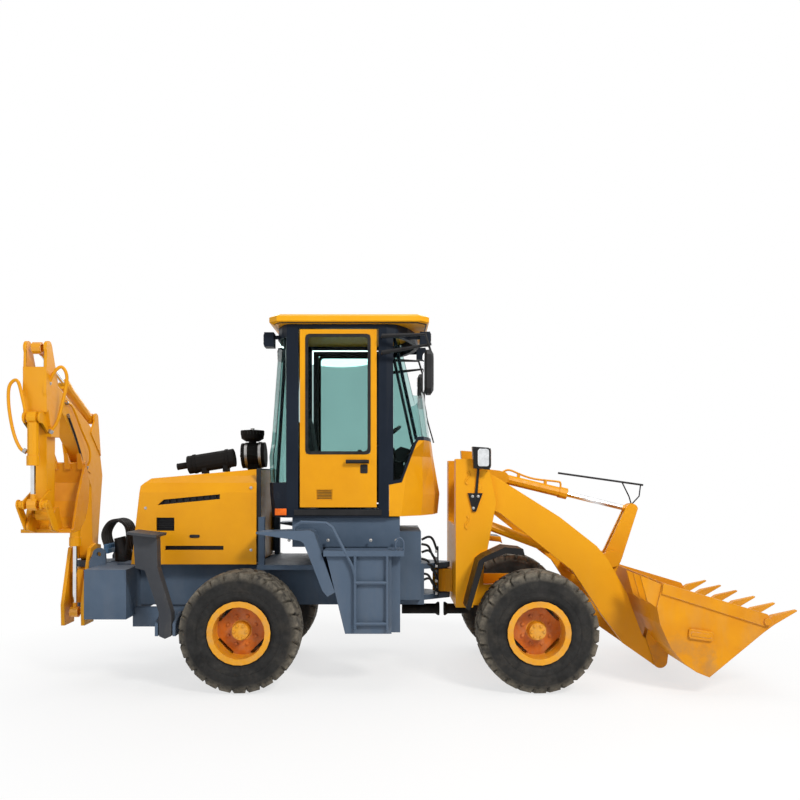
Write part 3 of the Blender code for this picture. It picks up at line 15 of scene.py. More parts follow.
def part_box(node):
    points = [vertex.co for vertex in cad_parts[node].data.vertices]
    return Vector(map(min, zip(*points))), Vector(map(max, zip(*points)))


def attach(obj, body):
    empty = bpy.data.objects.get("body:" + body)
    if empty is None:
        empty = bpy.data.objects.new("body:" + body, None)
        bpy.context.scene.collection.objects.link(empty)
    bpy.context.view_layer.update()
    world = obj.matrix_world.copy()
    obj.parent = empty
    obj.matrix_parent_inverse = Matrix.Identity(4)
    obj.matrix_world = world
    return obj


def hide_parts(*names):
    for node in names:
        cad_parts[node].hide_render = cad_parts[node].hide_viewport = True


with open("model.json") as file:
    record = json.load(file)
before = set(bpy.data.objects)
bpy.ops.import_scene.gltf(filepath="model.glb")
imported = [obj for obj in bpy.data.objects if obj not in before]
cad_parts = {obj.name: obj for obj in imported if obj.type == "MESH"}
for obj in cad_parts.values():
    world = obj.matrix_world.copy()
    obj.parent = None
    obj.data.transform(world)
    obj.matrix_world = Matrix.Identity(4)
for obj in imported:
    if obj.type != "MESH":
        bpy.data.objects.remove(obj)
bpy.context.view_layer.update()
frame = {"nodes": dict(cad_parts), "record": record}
scene = bpy.context.scene

# Driving sizes of the machine, as far as the looks need them. A pair is (x, z).
PIVOT_X = 0.47
AXLE_X = {"rear": -1.18, "front": 1.18}
TRACK = 1.45
TYRE_R = 0.4825
TYRE_W = 0.39
CAB_Y = 0.60
TOWER_Y = 0.4825
HOOD_Y = 0.50
BUCKET_SIDE = 0.93
CRANK_TOP = (2.162, 1.418)
TILT_BASE = (1.004, 1.699)
LIFT_END = (1.47, 1.06)
LIFT_Y = 0.31
SIDES = {"right": -1, "left": 1}
AHEAD = (1, 0, 0)
UP = (0, 0, 1)

# The digging arm, whose pairs are (reach from its swing axis, height)
ARM_X = -2.70
BOOM_RAM_EYE = (0.29, 0.55)
DIPPER_TOP = (1.02, 2.70)
BUCKET_RAM_EYE = (1.10, 1.50)

joint_places = {joint["name"]: joint.get("pos_m") for joint in frame["record"]["behaviour"]["joints"]}
SHIFT = Vector(joint_places["steering"]) - Vector((PIVOT_X, 0, joint_places["steering"][2]))


def at(x, y, z):
    """A place in the machine's frame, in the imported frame."""
    return Vector((x, y, z)) + SHIFT


def arm_at(u, z, x=0.0):
    """A place on the digging arm, u outwards from its swing axis and x from the arm's middle."""
    return at(ARM_X + x, -u, z)


def wheel_centre(end, side):
    return at(AXLE_X[end], SIDES[side] * TRACK / 2, TYRE_R)


# Camera and light
CAMERA_PLACE = (0.0, -7.17, 1.717)
FILM = 36
IMAGE = 800
PRINCIPAL = (389, 476)
VIEW_REACH = 200


def add_camera():
    camera = bpy.data.objects.new("camera", bpy.data.cameras.new("camera"))
    scene.collection.objects.link(camera)
    camera.location = at(*CAMERA_PLACE)
    camera.rotation_euler = (math.radians(90), 0, 0)
    camera.data.sensor_width = FILM
    camera.data.lens = FILM
    camera.data.shift_x = (IMAGE / 2 - PRINCIPAL[0]) / IMAGE
    camera.data.shift_y = (PRINCIPAL[1] - IMAGE / 2) / IMAGE
    camera.data.clip_end = VIEW_REACH
    scene.camera = camera


# name, place, size, watts, colour: each lamp looks at the machine's middle
LAMPS = (
    ("key", (4.5, -8.0, 7.5), 2.4, 820, (1.0, 0.97, 0.92)),
    ("fill", (-6.5, -7.0, 3.0), 5.0, 150, (0.93, 0.96, 1.0)),
    ("back", (-1.0, 8.0, 6.5), 6.0, 330, (1.0, 0.99, 0.97)),
    ("top", (0.0, 0.0, 9.0), 6.0, 230, (1.0, 1.0, 1.0)),
)
LAMP_TARGET = Vector((0, 0, 1.2))
SKY_COLOUR = (0.93, 0.96, 1.0, 1)
SKY_STRENGTH = 0.34
WHITE = (1, 1, 1, 1)


def add_lights():
    for name, place, size, watts, colour in LAMPS:
        lamp = bpy.data.lights.new(name, "AREA")
        lamp.shape = "DISK"
        lamp.size = size
        lamp.energy = watts
        lamp.color = colour
        holder = bpy.data.objects.new(name, lamp)
        scene.collection.objects.link(holder)
        holder.location = place
        towards = LAMP_TARGET - holder.location
        holder.rotation_euler = towards.to_track_quat("-Z", "Y").to_euler()


def add_world():
    """A soft sky for the light, and plain white where the background is seen."""
    world = bpy.data.worlds.new("studio")
    scene.world = world
    world.use_nodes = True
    nodes, links = world.node_tree.nodes, world.node_tree.links
    nodes.clear()
    out = nodes.new("ShaderNodeOutputWorld")
    pick = nodes.new("ShaderNodeMixShader")
    sky = nodes.new("ShaderNodeBackground")
    sky.inputs["Color"].default_value = SKY_COLOUR
    sky.inputs["Strength"].default_value = SKY_STRENGTH
    seen = nodes.new("ShaderNodeBackground")
    seen.inputs["Color"].default_value = WHITE
    seen.inputs["Strength"].default_value = 1.0
    links.new(bright_rays(nodes, links), pick.inputs[0])
    links.new(sky.outputs[0], pick.inputs[1])
    links.new(seen.outputs[0], pick.inputs[2])
    links.new(pick.outputs[0], out.inputs[0])


def bright_rays(nodes, links):
    """One for rays from the camera, off a shiny surface or through glass."""
    rays = nodes.new("ShaderNodeLightPath")
    first, second = nodes.new("ShaderNodeMath"), nodes.new("ShaderNodeMath")
    first.operation = second.operation = "MAXIMUM"
    links.new(rays.outputs["Is Camera Ray"], first.inputs[0])
    links.new(rays.outputs["Is Glossy Ray"], first.inputs[1])
    links.new(first.outputs[0], second.inputs[0])
    links.new(rays.outputs["Is Transmission Ray"], second.inputs[1])
    return second.outputs[0]


FLOOR_REACH = 40
FLOOR_DROP = 0.001
FLOOR_GREY = (0.86, 0.86, 0.86, 1)
# The floor fades into the white behind it, away from the machine: distances, then shares of white
FLOOR_FADE = {"From Min": 2.2, "From Max": 4.6, "To Min": 0.70, "To Max": 1.0}


def add_floor():
    mesh = bpy.data.meshes.new("floor")
    corners = [(u * FLOOR_REACH, v * FLOOR_REACH, 0) for u, v in ((-1, -1), (1, -1), (1, 1), (-1, 1))]
    mesh.from_pydata(corners, [], [(0, 1, 2, 3)])
    floor = bpy.data.objects.new("floor", mesh)
    scene.collection.objects.link(floor)
    floor.location.z = -FLOOR_DROP
    material = bpy.data.materials.new("floor")
    material.use_nodes = True
    nodes, links = material.node_tree.nodes, material.node_tree.links
    nodes.clear()
    out = nodes.new("ShaderNodeOutputMaterial")
    pick = nodes.new("ShaderNodeMixShader")
    matt = nodes.new("ShaderNodeBsdfDiffuse")
    matt.inputs["Color"].default_value = FLOOR_GREY
    glow = nodes.new("ShaderNodeEmission")
    glow.inputs["Color"].default_value = WHITE
    glow.inputs["Strength"].default_value = 1.0
    place = nodes.new("ShaderNodeTexCoord")
    away = nodes.new("ShaderNodeVectorMath")
    away.operation = "LENGTH"
    links.new(place.outputs["Object"], away.inputs[0])
    fade = nodes.new("ShaderNodeMapRange")
    for socket, value in FLOOR_FADE.items():
        fade.inputs[socket].default_value = value
    links.new(away.outputs["Value"], fade.inputs["Value"])
    share = nodes.new("ShaderNodeMath")
    share.operation = "MULTIPLY"
    links.new(bright_rays(nodes, links), share.inputs[0])
    links.new(fade.outputs["Result"], share.inputs[1])
    links.new(share.outputs[0], pick.inputs[0])
    links.new(matt.outputs[0], pick.inputs[1])
    links.new(glow.outputs[0], pick.inputs[2])
    links.new(pick.outputs[0], out.inputs[0])
    mesh.materials.append(material)


# Colours
YELLOW = (0.76, 0.335, 0.003)
YELLOW_SHADE = (0.67, 0.275, 0.003)
ORANGE = (0.72, 0.30, 0.003)
ORANGE_SHADE = (0.60, 0.22, 0.004)
ROOF_YELLOW = (0.78, 0.38, 0.010)
# Painted shade: the wheel disc's deeper orange stands in for the shade in its recess, and a darker tone is
# mixed in at random
DISC_PAINTED_SHADE = (0.62, 0.16, 0.004)
DISC_SHADE = (0.42, 0.10, 0.005)
BLUE_GREY = (0.082, 0.118, 0.172)
STEP_SHADE = (0.068, 0.100, 0.150)
BLUE_SHADE = (0.050, 0.078, 0.120)
NAVY = (0.006, 0.010, 0.018)
NAVY_SHADE = (0.010, 0.015, 0.025)
CHARCOAL = (0.035, 0.038, 0.045)
CHARCOAL_SHADE = (0.055, 0.058, 0.064)
BLACK = (0.004, 0.004, 0.005)
SOOT = (0.005, 0.005, 0.005)
SOOT_SHADE = (0.012, 0.010, 0.009)
CLOTH = (0.020, 0.021, 0.024)
RUBBER = (0.010, 0.010, 0.010)
RUBBER_PALE = (0.024, 0.023, 0.022)
HOSE_BLACK = (0.013, 0.013, 0.014)
FITTING_BLUE = (0.06, 0.16, 0.30)
FITTING_SHADE = (0.04, 0.10, 0.20)
DUST = (0.36, 0.29, 0.20)
TREAD_DUST = (0.27, 0.235, 0.18)
WALL_DUST = (0.20, 0.17, 0.13)
EARTH = (0.30, 0.16, 0.07)
STEEL = (0.42, 0.41, 0.40)
BOLT_STEEL = (0.40, 0.39, 0.38)
CHROME = (0.74, 0.74, 0.75)
CHROME_SHADE = (0.60, 0.60, 0.61)
MIRROR = (0.82, 0.84, 0.86)
TINT = (0.47, 0.66, 0.64)
CLEAR = (0.93, 0.94, 0.95)
AMBER = (0.70, 0.12, 0.004)


# Materials
BEVEL_SAMPLES = 4


class Finish:
    """A procedural material that is built up socket by socket."""

    def __init__(self, name, roughness=0.5, metallic=0.0):
        self.material = bpy.data.materials.new(name)
        self.material.use_nodes = True
        self.nodes = self.material.node_tree.nodes
        self.links = self.material.node_tree.links
        self.shader = self.nodes["Principled BSDF"]
        self.set("Metallic", metallic)
        self.set("Roughness", roughness)
        self.place = self.nodes.new("ShaderNodeTexCoord").outputs["Object"]

    def set(self, socket, value):
        """Gives a socket of the shader a plain number, or the outcome of other nodes."""
        if isinstance(value, (int, float)):
            self.shader.inputs[socket].default_value = value
        else:
            self.join(value, self.shader.inputs[socket])

    def join(self, out, socket):
        self.links.new(out, socket)

    def noise(self, scale, detail=4.0, roughness=0.55, stretch=None):
        node = self.nodes.new("ShaderNodeTexNoise")
        node.inputs["Scale"].default_value = scale
        node.inputs["Detail"].default_value = detail
        node.inputs["Roughness"].default_value = roughness
        where = self.place
        if stretch:
            mapping = self.nodes.new("ShaderNodeMapping")
            mapping.inputs["Scale"].default_value = stretch
            self.join(self.place, mapping.inputs["Vector"])
            where = mapping.outputs[0]
        self.join(where, node.inputs["Vector"])
        return node.outputs["Fac"]

    def remap(self, value, low, high, start=0.0, end=1.0):
        """Start where the value is low, end where it is high, and in between a mix."""
        node = self.nodes.new("ShaderNodeMapRange")
        node.inputs["From Min"].default_value = low
        node.inputs["From Max"].default_value = high
        node.inputs["To Min"].default_value = start
        node.inputs["To Max"].default_value = end
        self.join(value, node.inputs["Value"])
        return node.outputs["Result"]

    def sums(self, operation, first, second=0.0):
        node = self.nodes.new("ShaderNodeMath")
        node.operation = operation
        for socket, value in zip(node.inputs, (first, second)):
            if isinstance(value, (int, float)):
                socket.default_value = value
            else:
                self.join(value, socket)
        return node.outputs[0]

    def times(self, first, second):
        return self.sums("MULTIPLY", first, second)

    def mix(self, share, first, second):
        """The first colour where the share is none, and the second where it is one."""
        node = self.nodes.new("ShaderNodeMix")
        node.data_type = "RGBA"
        self.join(share, node.inputs["Factor"])
        for socket, value in ((node.inputs[6], first), (node.inputs[7], second)):
            if isinstance(value, tuple):
                socket.default_value = (*value, 1)
            else:
                self.join(value, socket)
        return node.outputs[2]

    def axis(self, name):
        node = self.nodes.new("ShaderNodeSeparateXYZ")
        self.join(self.place, node.inputs[0])
        return node.outputs[name]

    def off_middle(self):
        """Distance from the machine's middle plane."""
        return self.sums("ABSOLUTE", self.sums("SUBTRACT", self.axis("Y"), SHIFT.y))

    def vector(self, operation, first, second=None):
        node = self.nodes.new("ShaderNodeVectorMath")
        node.operation = operation
        self.join(first, node.inputs[0])
        if second is not None:
            node.inputs[1].default_value = second
        return node.outputs["Value" if operation in ("LENGTH", "DISTANCE") else "Vector"]

    def radius_from(self, centre):
        """Distance from an axle's line through centre, along Y."""
        flat = self.vector("MULTIPLY", self.vector("SUBTRACT", self.place, centre), (1, 0, 1))
        return self.vector("LENGTH", flat)

    def bevelled(self, radius):
        """The normal of a surface whose edges were rounded."""
        edge = self.nodes.new("ShaderNodeBevel")
        edge.samples = BEVEL_SAMPLES
        edge.inputs["Radius"].default_value = radius
        return edge.outputs[0]

    def bump(self, height, strength, distance, soft=0.0):
        node = self.nodes.new("ShaderNodeBump")
        node.inputs["Strength"].default_value = strength
        node.inputs["Distance"].default_value = distance
        self.join(height, node.inputs["Height"])
        if soft:
            self.join(self.bevelled(soft), node.inputs["Normal"])
        self.join(node.outputs[0], self.shader.inputs["Normal"])

    def worn_edges(self, radius=0.006):
        """One along outer edges, broken up by noise."""
        face = self.nodes.new("ShaderNodeNewGeometry")
        dot = self.nodes.new("ShaderNodeVectorMath")
        dot.operation = "DOT_PRODUCT"
        self.join(self.bevelled(radius), dot.inputs[0])
        self.join(face.outputs["Normal"], dot.inputs[1])
        sharp = self.remap(dot.outputs["Value"], 0.99, 0.86)
        broken = self.remap(self.noise(38, 6, 0.7), 0.46, 0.60)
        return self.times(sharp, broken)


def painted(name, colour, shade, roughness=0.38, dust=0.1, worn=0.0, recolour=None, shine=0.22):
    """Sprayed paint: cloudy colour, dust that thickens towards the ground, fine orange peel, worn edges."""
    made = Finish(name, roughness)
    cloud = made.remap(made.noise(1.7, 5, 0.6), 0.35, 0.68)
    tone = made.mix(cloud, colour, shade)
    if recolour:
        tone = recolour(made, tone)
    streak = made.remap(made.noise(6.0, 6, 0.65, stretch=(1.0, 1.0, 0.25)), 0.45, 0.75)
    low = made.remap(made.axis("Z"), 1.15, 0.25)
    grime = made.times(made.times(streak, made.sums("ADD", low, 0.12)), dust)
    tone = made.mix(grime, tone, DUST)
    if worn:
        tone = made.mix(made.times(made.worn_edges(), worn), tone, STEEL)
    made.set("Base Color", tone)
    smear = made.remap(made.noise(24, 6, 0.6), 0.3, 0.7, roughness - 0.07, roughness + 0.10)
    made.set("Roughness", made.sums("ADD", smear, grime))
    made.set("Specular IOR Level", shine)
    made.bump(made.noise(320, 2, 0.5), 0.06, 0.0006, 0.004)
    return made.material


def rubber_material(name, centre=None):
    """Black rubber, with pale road dust on the tread where it has an axle."""
    made = Finish(name, 0.78)
    tone = made.mix(made.remap(made.noise(7, 6, 0.65), 0.35, 0.7), RUBBER, RUBBER_PALE)
    if centre is not None:
        outwards = made.remap(made.radius_from(centre), 0.405, 0.46)
        patches = made.remap(made.noise(16, 5, 0.7), 0.3, 0.66)
        walls = made.remap(made.noise(5, 6, 0.7), 0.5, 0.8)
        tone = made.mix(made.times(made.times(outwards, patches), 0.66), tone, TREAD_DUST)
        tone = made.mix(made.times(walls, 0.16), tone, WALL_DUST)
    made.set("Base Color", tone)
    made.set("Roughness", made.remap(made.noise(30, 4), 0.3, 0.7, 0.66, 0.92))
    made.set("Specular IOR Level", 0.25)
    made.bump(made.noise(90, 5, 0.7), 0.25, 0.0015, 0.006 if centre is not None else 0.0)
    return made.material


def rim_material(name, centre):
    """Yellow flange and hub cap round a disc painted deeper orange, as painted shade for its recess."""
    made = Finish(name, 0.42)
    reach = made.radius_from(centre)
    # Painted shade: the disc between these radii takes the deeper orange for the shade in its recess
    disc = made.times(made.remap(reach, 0.203, 0.199), made.remap(reach, 0.080, 0.084))
    cloud = made.remap(made.noise(9, 5, 0.65), 0.35, 0.7)
    yellow = made.mix(cloud, YELLOW, YELLOW_SHADE)
    # The disc's colour is painted shade, deeper orange for its recess
    orange = made.mix(cloud, DISC_PAINTED_SHADE, DISC_SHADE)
    grime = made.times(made.remap(made.noise(14, 6, 0.7), 0.45, 0.75), 0.34)
    made.set("Base Color", made.mix(grime, made.mix(disc, yellow, orange), DUST))
    made.set("Roughness", made.remap(made.noise(25, 5), 0.3, 0.7, 0.36, 0.62))
    made.bump(made.noise(200, 3), 0.08, 0.0008, 0.004)
    return made.material


def rod_material(name, eye):
    """Polished bar with a painted eye at its end."""
    made = Finish(name, 0.16, 1.0)
    near = made.remap(made.vector("DISTANCE", made.place, eye), 0.085, 0.080)
    bright = made.mix(made.remap(made.noise(12, 5), 0.4, 0.75), CHROME, CHROME_SHADE)
    smear = made.remap(made.noise(20, 5), 0.3, 0.7, 0.10, 0.2)
    made.set("Base Color", made.mix(near, bright, ORANGE))
    made.set("Metallic", made.sums("SUBTRACT", 1.0, near))
    made.set("Roughness", made.sums("ADD", made.times(near, 0.28), smear))
    made.bump(made.noise(400, 2), 0.05, 0.0004)
    return made.material


def metal(name, colour, roughness, blotch=0.12):
    made = Finish(name, roughness, 1.0)
    darker = tuple(channel * 0.62 for channel in colour)
    made.set("Base Color", made.mix(made.remap(made.noise(12, 5), 0.4, 0.75), colour, darker))
    made.set("Roughness", made.remap(made.noise(20, 5), 0.3, 0.7, roughness - 0.05, roughness + blotch))
    made.bump(made.noise(400, 2), 0.05, 0.0004)
    return made.material


def plastic(name, colour, roughness, grain=260):
    made = Finish(name, roughness)
    paler = tuple(channel * 1.7 + 0.006 for channel in colour)
    made.set("Base Color", made.mix(made.remap(made.noise(8, 5), 0.4, 0.75), colour, paler))
    made.set("Roughness", made.remap(made.noise(22, 5), 0.3, 0.7, roughness - 0.06, roughness + 0.12))
    made.set("Specular IOR Level", 0.28)
    made.bump(made.noise(grain, 3), 0.12, 0.0006, 0.003)
    return made.material


def pane_material(name, colour, roughness=0.02):
    """Tinted glass with a faint film of dust."""
    made = Finish(name, roughness)
    film = made.remap(made.noise(3.5, 6, 0.65), 0.42, 0.8, 0.0, 0.10)
    deeper = tuple(channel * 0.9 for channel in colour)
    made.set("Base Color", made.mix(made.remap(made.noise(1.3), 0.3, 0.7), colour, deeper))
    made.set("Roughness", made.sums("ADD", film, roughness))
    made.set("Transmission Weight", 1.0)
    made.set("IOR", 1.12)
    made.set("Specular IOR Level", 0.9)
    return made.material


def black_fender(made, tone):
    """The fender strips stand outside the tower plates, and are black."""
    return made.mix(made.remap(made.off_middle(), TOWER_Y + 0.028, TOWER_Y + 0.030), tone, BLACK)


def bucket_inside(made, tone):
    """Bare scoured steel and earth stains inside the bucket."""
    scoured = made.remap(made.noise(4.5, 7, 0.7), 0.50, 0.66)
    low = made.remap(made.axis("Z"), 0.62, 0.34)
    return made.mix(made.times(made.times(scoured, low), 0.45), tone, EARTH)


def door_inner_shade(made, tone):
    """Painted shade: the side of a door that faces the driver is made black, for the dark inside of the cab.
    """
    return made.mix(made.remap(made.off_middle(), CAB_Y - 0.004, CAB_Y - 0.006), tone, BLACK)


# Mesh building
def frame_of(axis):
    """An axis as a unit vector, and two directions square to it."""
    axis = Vector(axis).normalized()
    side = axis.orthogonal().normalized()
    return axis, side, axis.cross(side)


def turns(count):
    """Angles of the corners round a circle."""
    return [2 * math.pi * k / count for k in range(count)]


class Shape:
    """Collects closed forms into one mesh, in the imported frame."""

    def __init__(self):
        self.points, self.faces = [], []

    def add(self, points, faces):
        start = len(self.points)
        self.points += [Vector(point) for point in points]
        self.faces += [tuple(start + index for index in face) for face in faces]
        return self

    def rings(self, rings, closed=False):
        """Skins loops of equal length, with flat caps unless the row of loops is closed."""
        count, size = len(rings), len(rings[0])
        points = [point for ring in rings for point in ring]
        faces = []
        for k in range(count if closed else count - 1):
            low, high = k * size, (k + 1) % count * size
            faces += [(low + i, low + (i + 1) % size, high + (i + 1) % size, high + i) for i in range(size)]
        if not closed:
            faces += [tuple(range(size))[::-1], tuple((count - 1) * size + i for i in range(size))]
        return self.add(points, faces)

    def box(self, x, y, z):
        """A block between pairs of limits in the machine's frame."""
        corners = ((x[0], y[0]), (x[1], y[0]), (x[1], y[1]), (x[0], y[1]))
        return self.rings([[at(u, v, w) for u, v in corners] for w in z])

    def plate(self, outline, y0, y1):
        """An outline of (x, z) points, thick from y0 to y1."""
        return self.rings([[at(x, y, z) for x, z in outline] for y in (y0, y1)])

    def across(self, outline, x0, x1):
        """An outline of (y, z) points, thick from x0 to x1."""
        return self.rings([[at(x, y, z) for y, z in outline] for x in (x0, x1)])

    def lathe(self, profile, centre, axis, sides=24):
        """Turns (distance along the axis, radius) pairs round an axis through centre."""
        axis, side, other = frame_of(axis)
        rings = []
        for along, radius in profile:
            middle = Vector(centre) + axis * along
            rings.append([middle + (side * math.cos(turn) + other * math.sin(turn)) * max(radius, 1e-4)
                          for turn in turns(sides)])
        return self.rings(rings)

    def ring(self, centre, axis, radius, thick, sides=48, round_sides=8):
        """A ring of round section."""
        axis, side, other = frame_of(axis)
        loops = []
        for turn in turns(sides):
            out = side * math.cos(turn) + other * math.sin(turn)
            middle = Vector(centre) + out * radius
            loops.append([middle + (out * math.cos(roll) + axis * math.sin(roll)) * thick
                          for roll in turns(round_sides)])
        return self.rings(loops, closed=True)

    def bolt(self, place, axis, size=0.012, height=0.008):
        """A six-sided head on a washer."""
        foot = height * 0.3
        self.lathe([(0, size * 1.35), (foot, size * 1.35), (foot, size * 1.3)], place, axis, 16)
        return self.lathe([(foot, size), (height * 0.9, size), (height, size * 0.85)], place, axis, 6)

    def tube(self, points, radius, sides=10, smooth=True):
        """A hose or bar along the points, by a smooth curve unless told otherwise."""
        path = [Vector(point) for point in points]
        if smooth:
            path = curve_through(path)
        loops = []
        up = None
        for k, point in enumerate(path):
            ahead = (path[min(k + 1, len(path) - 1)] - path[max(k - 1, 0)]).normalized()
            if up is None:
                up = ahead.orthogonal().normalized()
            up = (up - ahead * up.dot(ahead)).normalized()
            other = ahead.cross(up)
            loops.append([point + (up * math.cos(turn) + other * math.sin(turn)) * radius
                          for turn in turns(sides)])
        return self.rings(loops)


def curve_through(points, steps=6):
    """Points on a Catmull-Rom curve."""
    if len(points) < 3:
        return points
    ends = [points[0] * 2 - points[1], *points, points[-1] * 2 - points[-2]]
    path = []
    for k in range(1, len(ends) - 2):
        a, b, c, d = ends[k - 1:k + 3]
        for j in range(steps):
            t = j / steps
            path.append(0.5 * (2 * b + (c - a) * t + (2 * a - 5 * b + 4 * c - d) * t * t
                               + (3 * b - a - 3 * c + d) * t * t * t))
    return path + [points[-1]]


def piece(name, shape, material, body, bevel=0.0, angle=35):
    """Makes an object of a shape, facing out and shaded smooth, and hangs it on a body."""
    mesh = bpy.data.meshes.new(name)
    mesh.from_pydata(shape.points, [], shape.faces)
    work = bmesh.new()
    work.from_mesh(mesh)
    bmesh.ops.recalc_face_normals(work, faces=work.faces)
    work.to_mesh(mesh)
    work.free()
    mesh.materials.append(material)
    made = bpy.data.objects.new(name, mesh)
    scene.collection.objects.link(made)
    if bevel:
        soft = made.modifiers.new("round", "BEVEL")
        soft.width = bevel
        soft.segments = 2
        soft.limit_method = "ANGLE"
    mesh.shade_smooth()
    mesh.set_sharp_from_angle(angle=math.radians(angle))
    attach(made, body)
    return made


def rounded(x, z, reach, corner, steps=4):
    """A rectangle's outline about (x, z) with round corners, half sizes in reach."""
    outline = []
    for k, (u, w) in enumerate(((1, 1), (-1, 1), (-1, -1), (1, -1))):
        for j in range(steps + 1):
            turn = math.pi / 2 * (k + j / steps)
            outline.append((x + u * (reach[0] - corner) + corner * math.cos(turn),
                            z + w * (reach[1] - corner) + corner * math.sin(turn)))
    return outline


def bar_outline(x, z, long, high):
    """A small upright rectangle whose lower rear corner is (x, z)."""
    return [(x, z), (x + long, z), (x + long, z + high), (x, z + high)]


# Wheels: rings of bolts as count, radius, height of the face they stand on, size and height of a head
HUB_RING = (6, 0.050, 0.1085, 0.010, 0.011)
DISC_RING = (8, 0.118, 0.024, 0.013, 0.014)
# ribs on the tyre's wall: radius, distance inwards from the tyre's full width
WALL_RIBS = ((0.286, 0.020), (0.330, 0.006), (0.372, 0.008))
RIB_THICK = 0.0045
VALVE_R = 0.218
VALVE_DEPTH = 0.075
VALVE = [(0, 0.006), (0.045, 0.006), (0.048, 0.009), (0.062, 0.009), (0.064, 0.006)]


def wheel_details(end, side, finish):
    sign = SIDES[side]
    centre = wheel_centre(end, side)
    axis = Vector((0, sign, 0))
    name = f"{end}_{side}"
    body = f"{name}_wheel"
    bolts = Shape()
    for start, (count, radius, face, size, height) in ((0, HUB_RING), (0.5, DISC_RING)):
        for k in range(count):
            turn = 2 * math.pi * (k + start) / count
            out = Vector((math.cos(turn), 0, math.sin(turn)))
            bolts.bolt(centre + out * radius + axis * face, axis, size, height)
    piece(f"{name}_wheel_nuts", bolts, finish[f"{name}_rim"], body)
    ribs = Shape()
    for radius, inset in WALL_RIBS:
        ribs.ring(centre + axis * (TYRE_W / 2 - inset), axis, radius, RIB_THICK, 72, 6)
    piece(f"{name}_sidewall_ribs", ribs, finish[f"{name}_tyre"], body)
    rim_face = abs(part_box(f"{name}_rim")[1 if sign > 0 else 0][1] - centre.y)
    valve = Shape()
    valve.lathe(VALVE, centre + Vector((0, 0, VALVE_R)) + axis * (rim_face - VALVE_DEPTH), axis, 10)
    piece(f"{name}_valve", valve, finish["black"], body)


# Hood and engine gear. Outlines are (x, z) points on the hood's side.
REAR = "rear_frame"
HOOD_BACKING = 0.462
HOOD_SLOTS = (
    [(-1.955, 1.465), (-1.88, 1.535), (-1.395, 1.58), (-1.395, 1.51)],
    [(-1.885, 1.09), (-1.37, 1.09), (-1.37, 1.145), (-1.88, 1.145)],
    [(-1.955, 1.25), (-1.775, 1.25), (-1.775, 1.38), (-1.955, 1.38)],
)
HOOD_BOLTS = ((-2.02, 1.10), (-1.15, 1.10), (-2.03, 1.45), (-1.15, 1.62))
LATCH = (-1.62, 1.215)
LEVEL_SLATS = 7
UPRIGHT_SLATS = 9


def hood_details(finish):
    backing, slats, bolts = Shape(), Shape(), Shape()
    for side in SIDES.values():
        for outline in HOOD_SLOTS:
            backing.plate(outline, side * HOOD_BACKING, side * (HOOD_BACKING + 0.004))
        for k in range(LEVEL_SLATS):
            slats.plate(bar_outline(-1.938, 1.268 + 0.0155 * k, 0.146, 0.003), side * 0.478, side * 0.492)
        for k in range(UPRIGHT_SLATS):
            x = -1.90 + k * 0.056
            slats.plate(bar_outline(x, 1.487 + 0.083 * (x + 1.93), 0.006, 0.036), side * 0.470, side * 0.488)
        for x, z in HOOD_BOLTS:
            bolts.bolt(at(x, side * HOOD_Y, z), (0, side, 0), 0.009, 0.007)
    piece("hood_slot_backing", backing, finish["black"], REAR)
    piece("hood_louvres", slats, finish["black"], REAR)
    piece("hood_bolts", bolts, finish["steel"], REAR)
    latch = Shape()
    for side in SIDES.values():
        for reach, corner, face in (((0.042, 0.013), 0.010, HOOD_Y), ((0.030, 0.006), 0.005, HOOD_Y + 0.007)):
            latch.plate(rounded(*LATCH, reach, corner), side * face, side * (face + 0.007))
    piece("hood_latches", latch, finish["black"], REAR, bevel=0.0015)
    strip = Shape()
    for side in SIDES.values():
        strip.box((-1.110, -1.070), (side * 0.470, side * 0.478), (1.00, 1.78))
    piece("cab_side_strip", strip, finish["black"], REAR, bevel=0.004)
    seam = Shape()
    seam.box((-1.112, -1.104), (-0.40, 0.40), (1.772, 1.782))
    piece("hood_seam", seam, finish["rubber"], REAR)


# ends of each drum's axis, and the radius of its skin
MUFFLER = (at(-1.72, -0.28, 1.812), at(-1.335, -0.28, 1.875), 0.080)
AIR_CLEANER = (at(-1.33, 0.10, 1.90), at(-1.12, 0.10, 1.91), 0.116)
# the pre-cleaner's cap on the air cleaner
CAP_X = -1.24
CAP_Y = 0.10
CAP_TOP = 2.138
CAP_RIBS = 24


def band_profile(skin, half_width):
    """A flat band round a drum."""
    outer = skin + 0.0035
    return [(-half_width, skin), (-half_width, outer), (half_width, outer), (half_width, skin)]


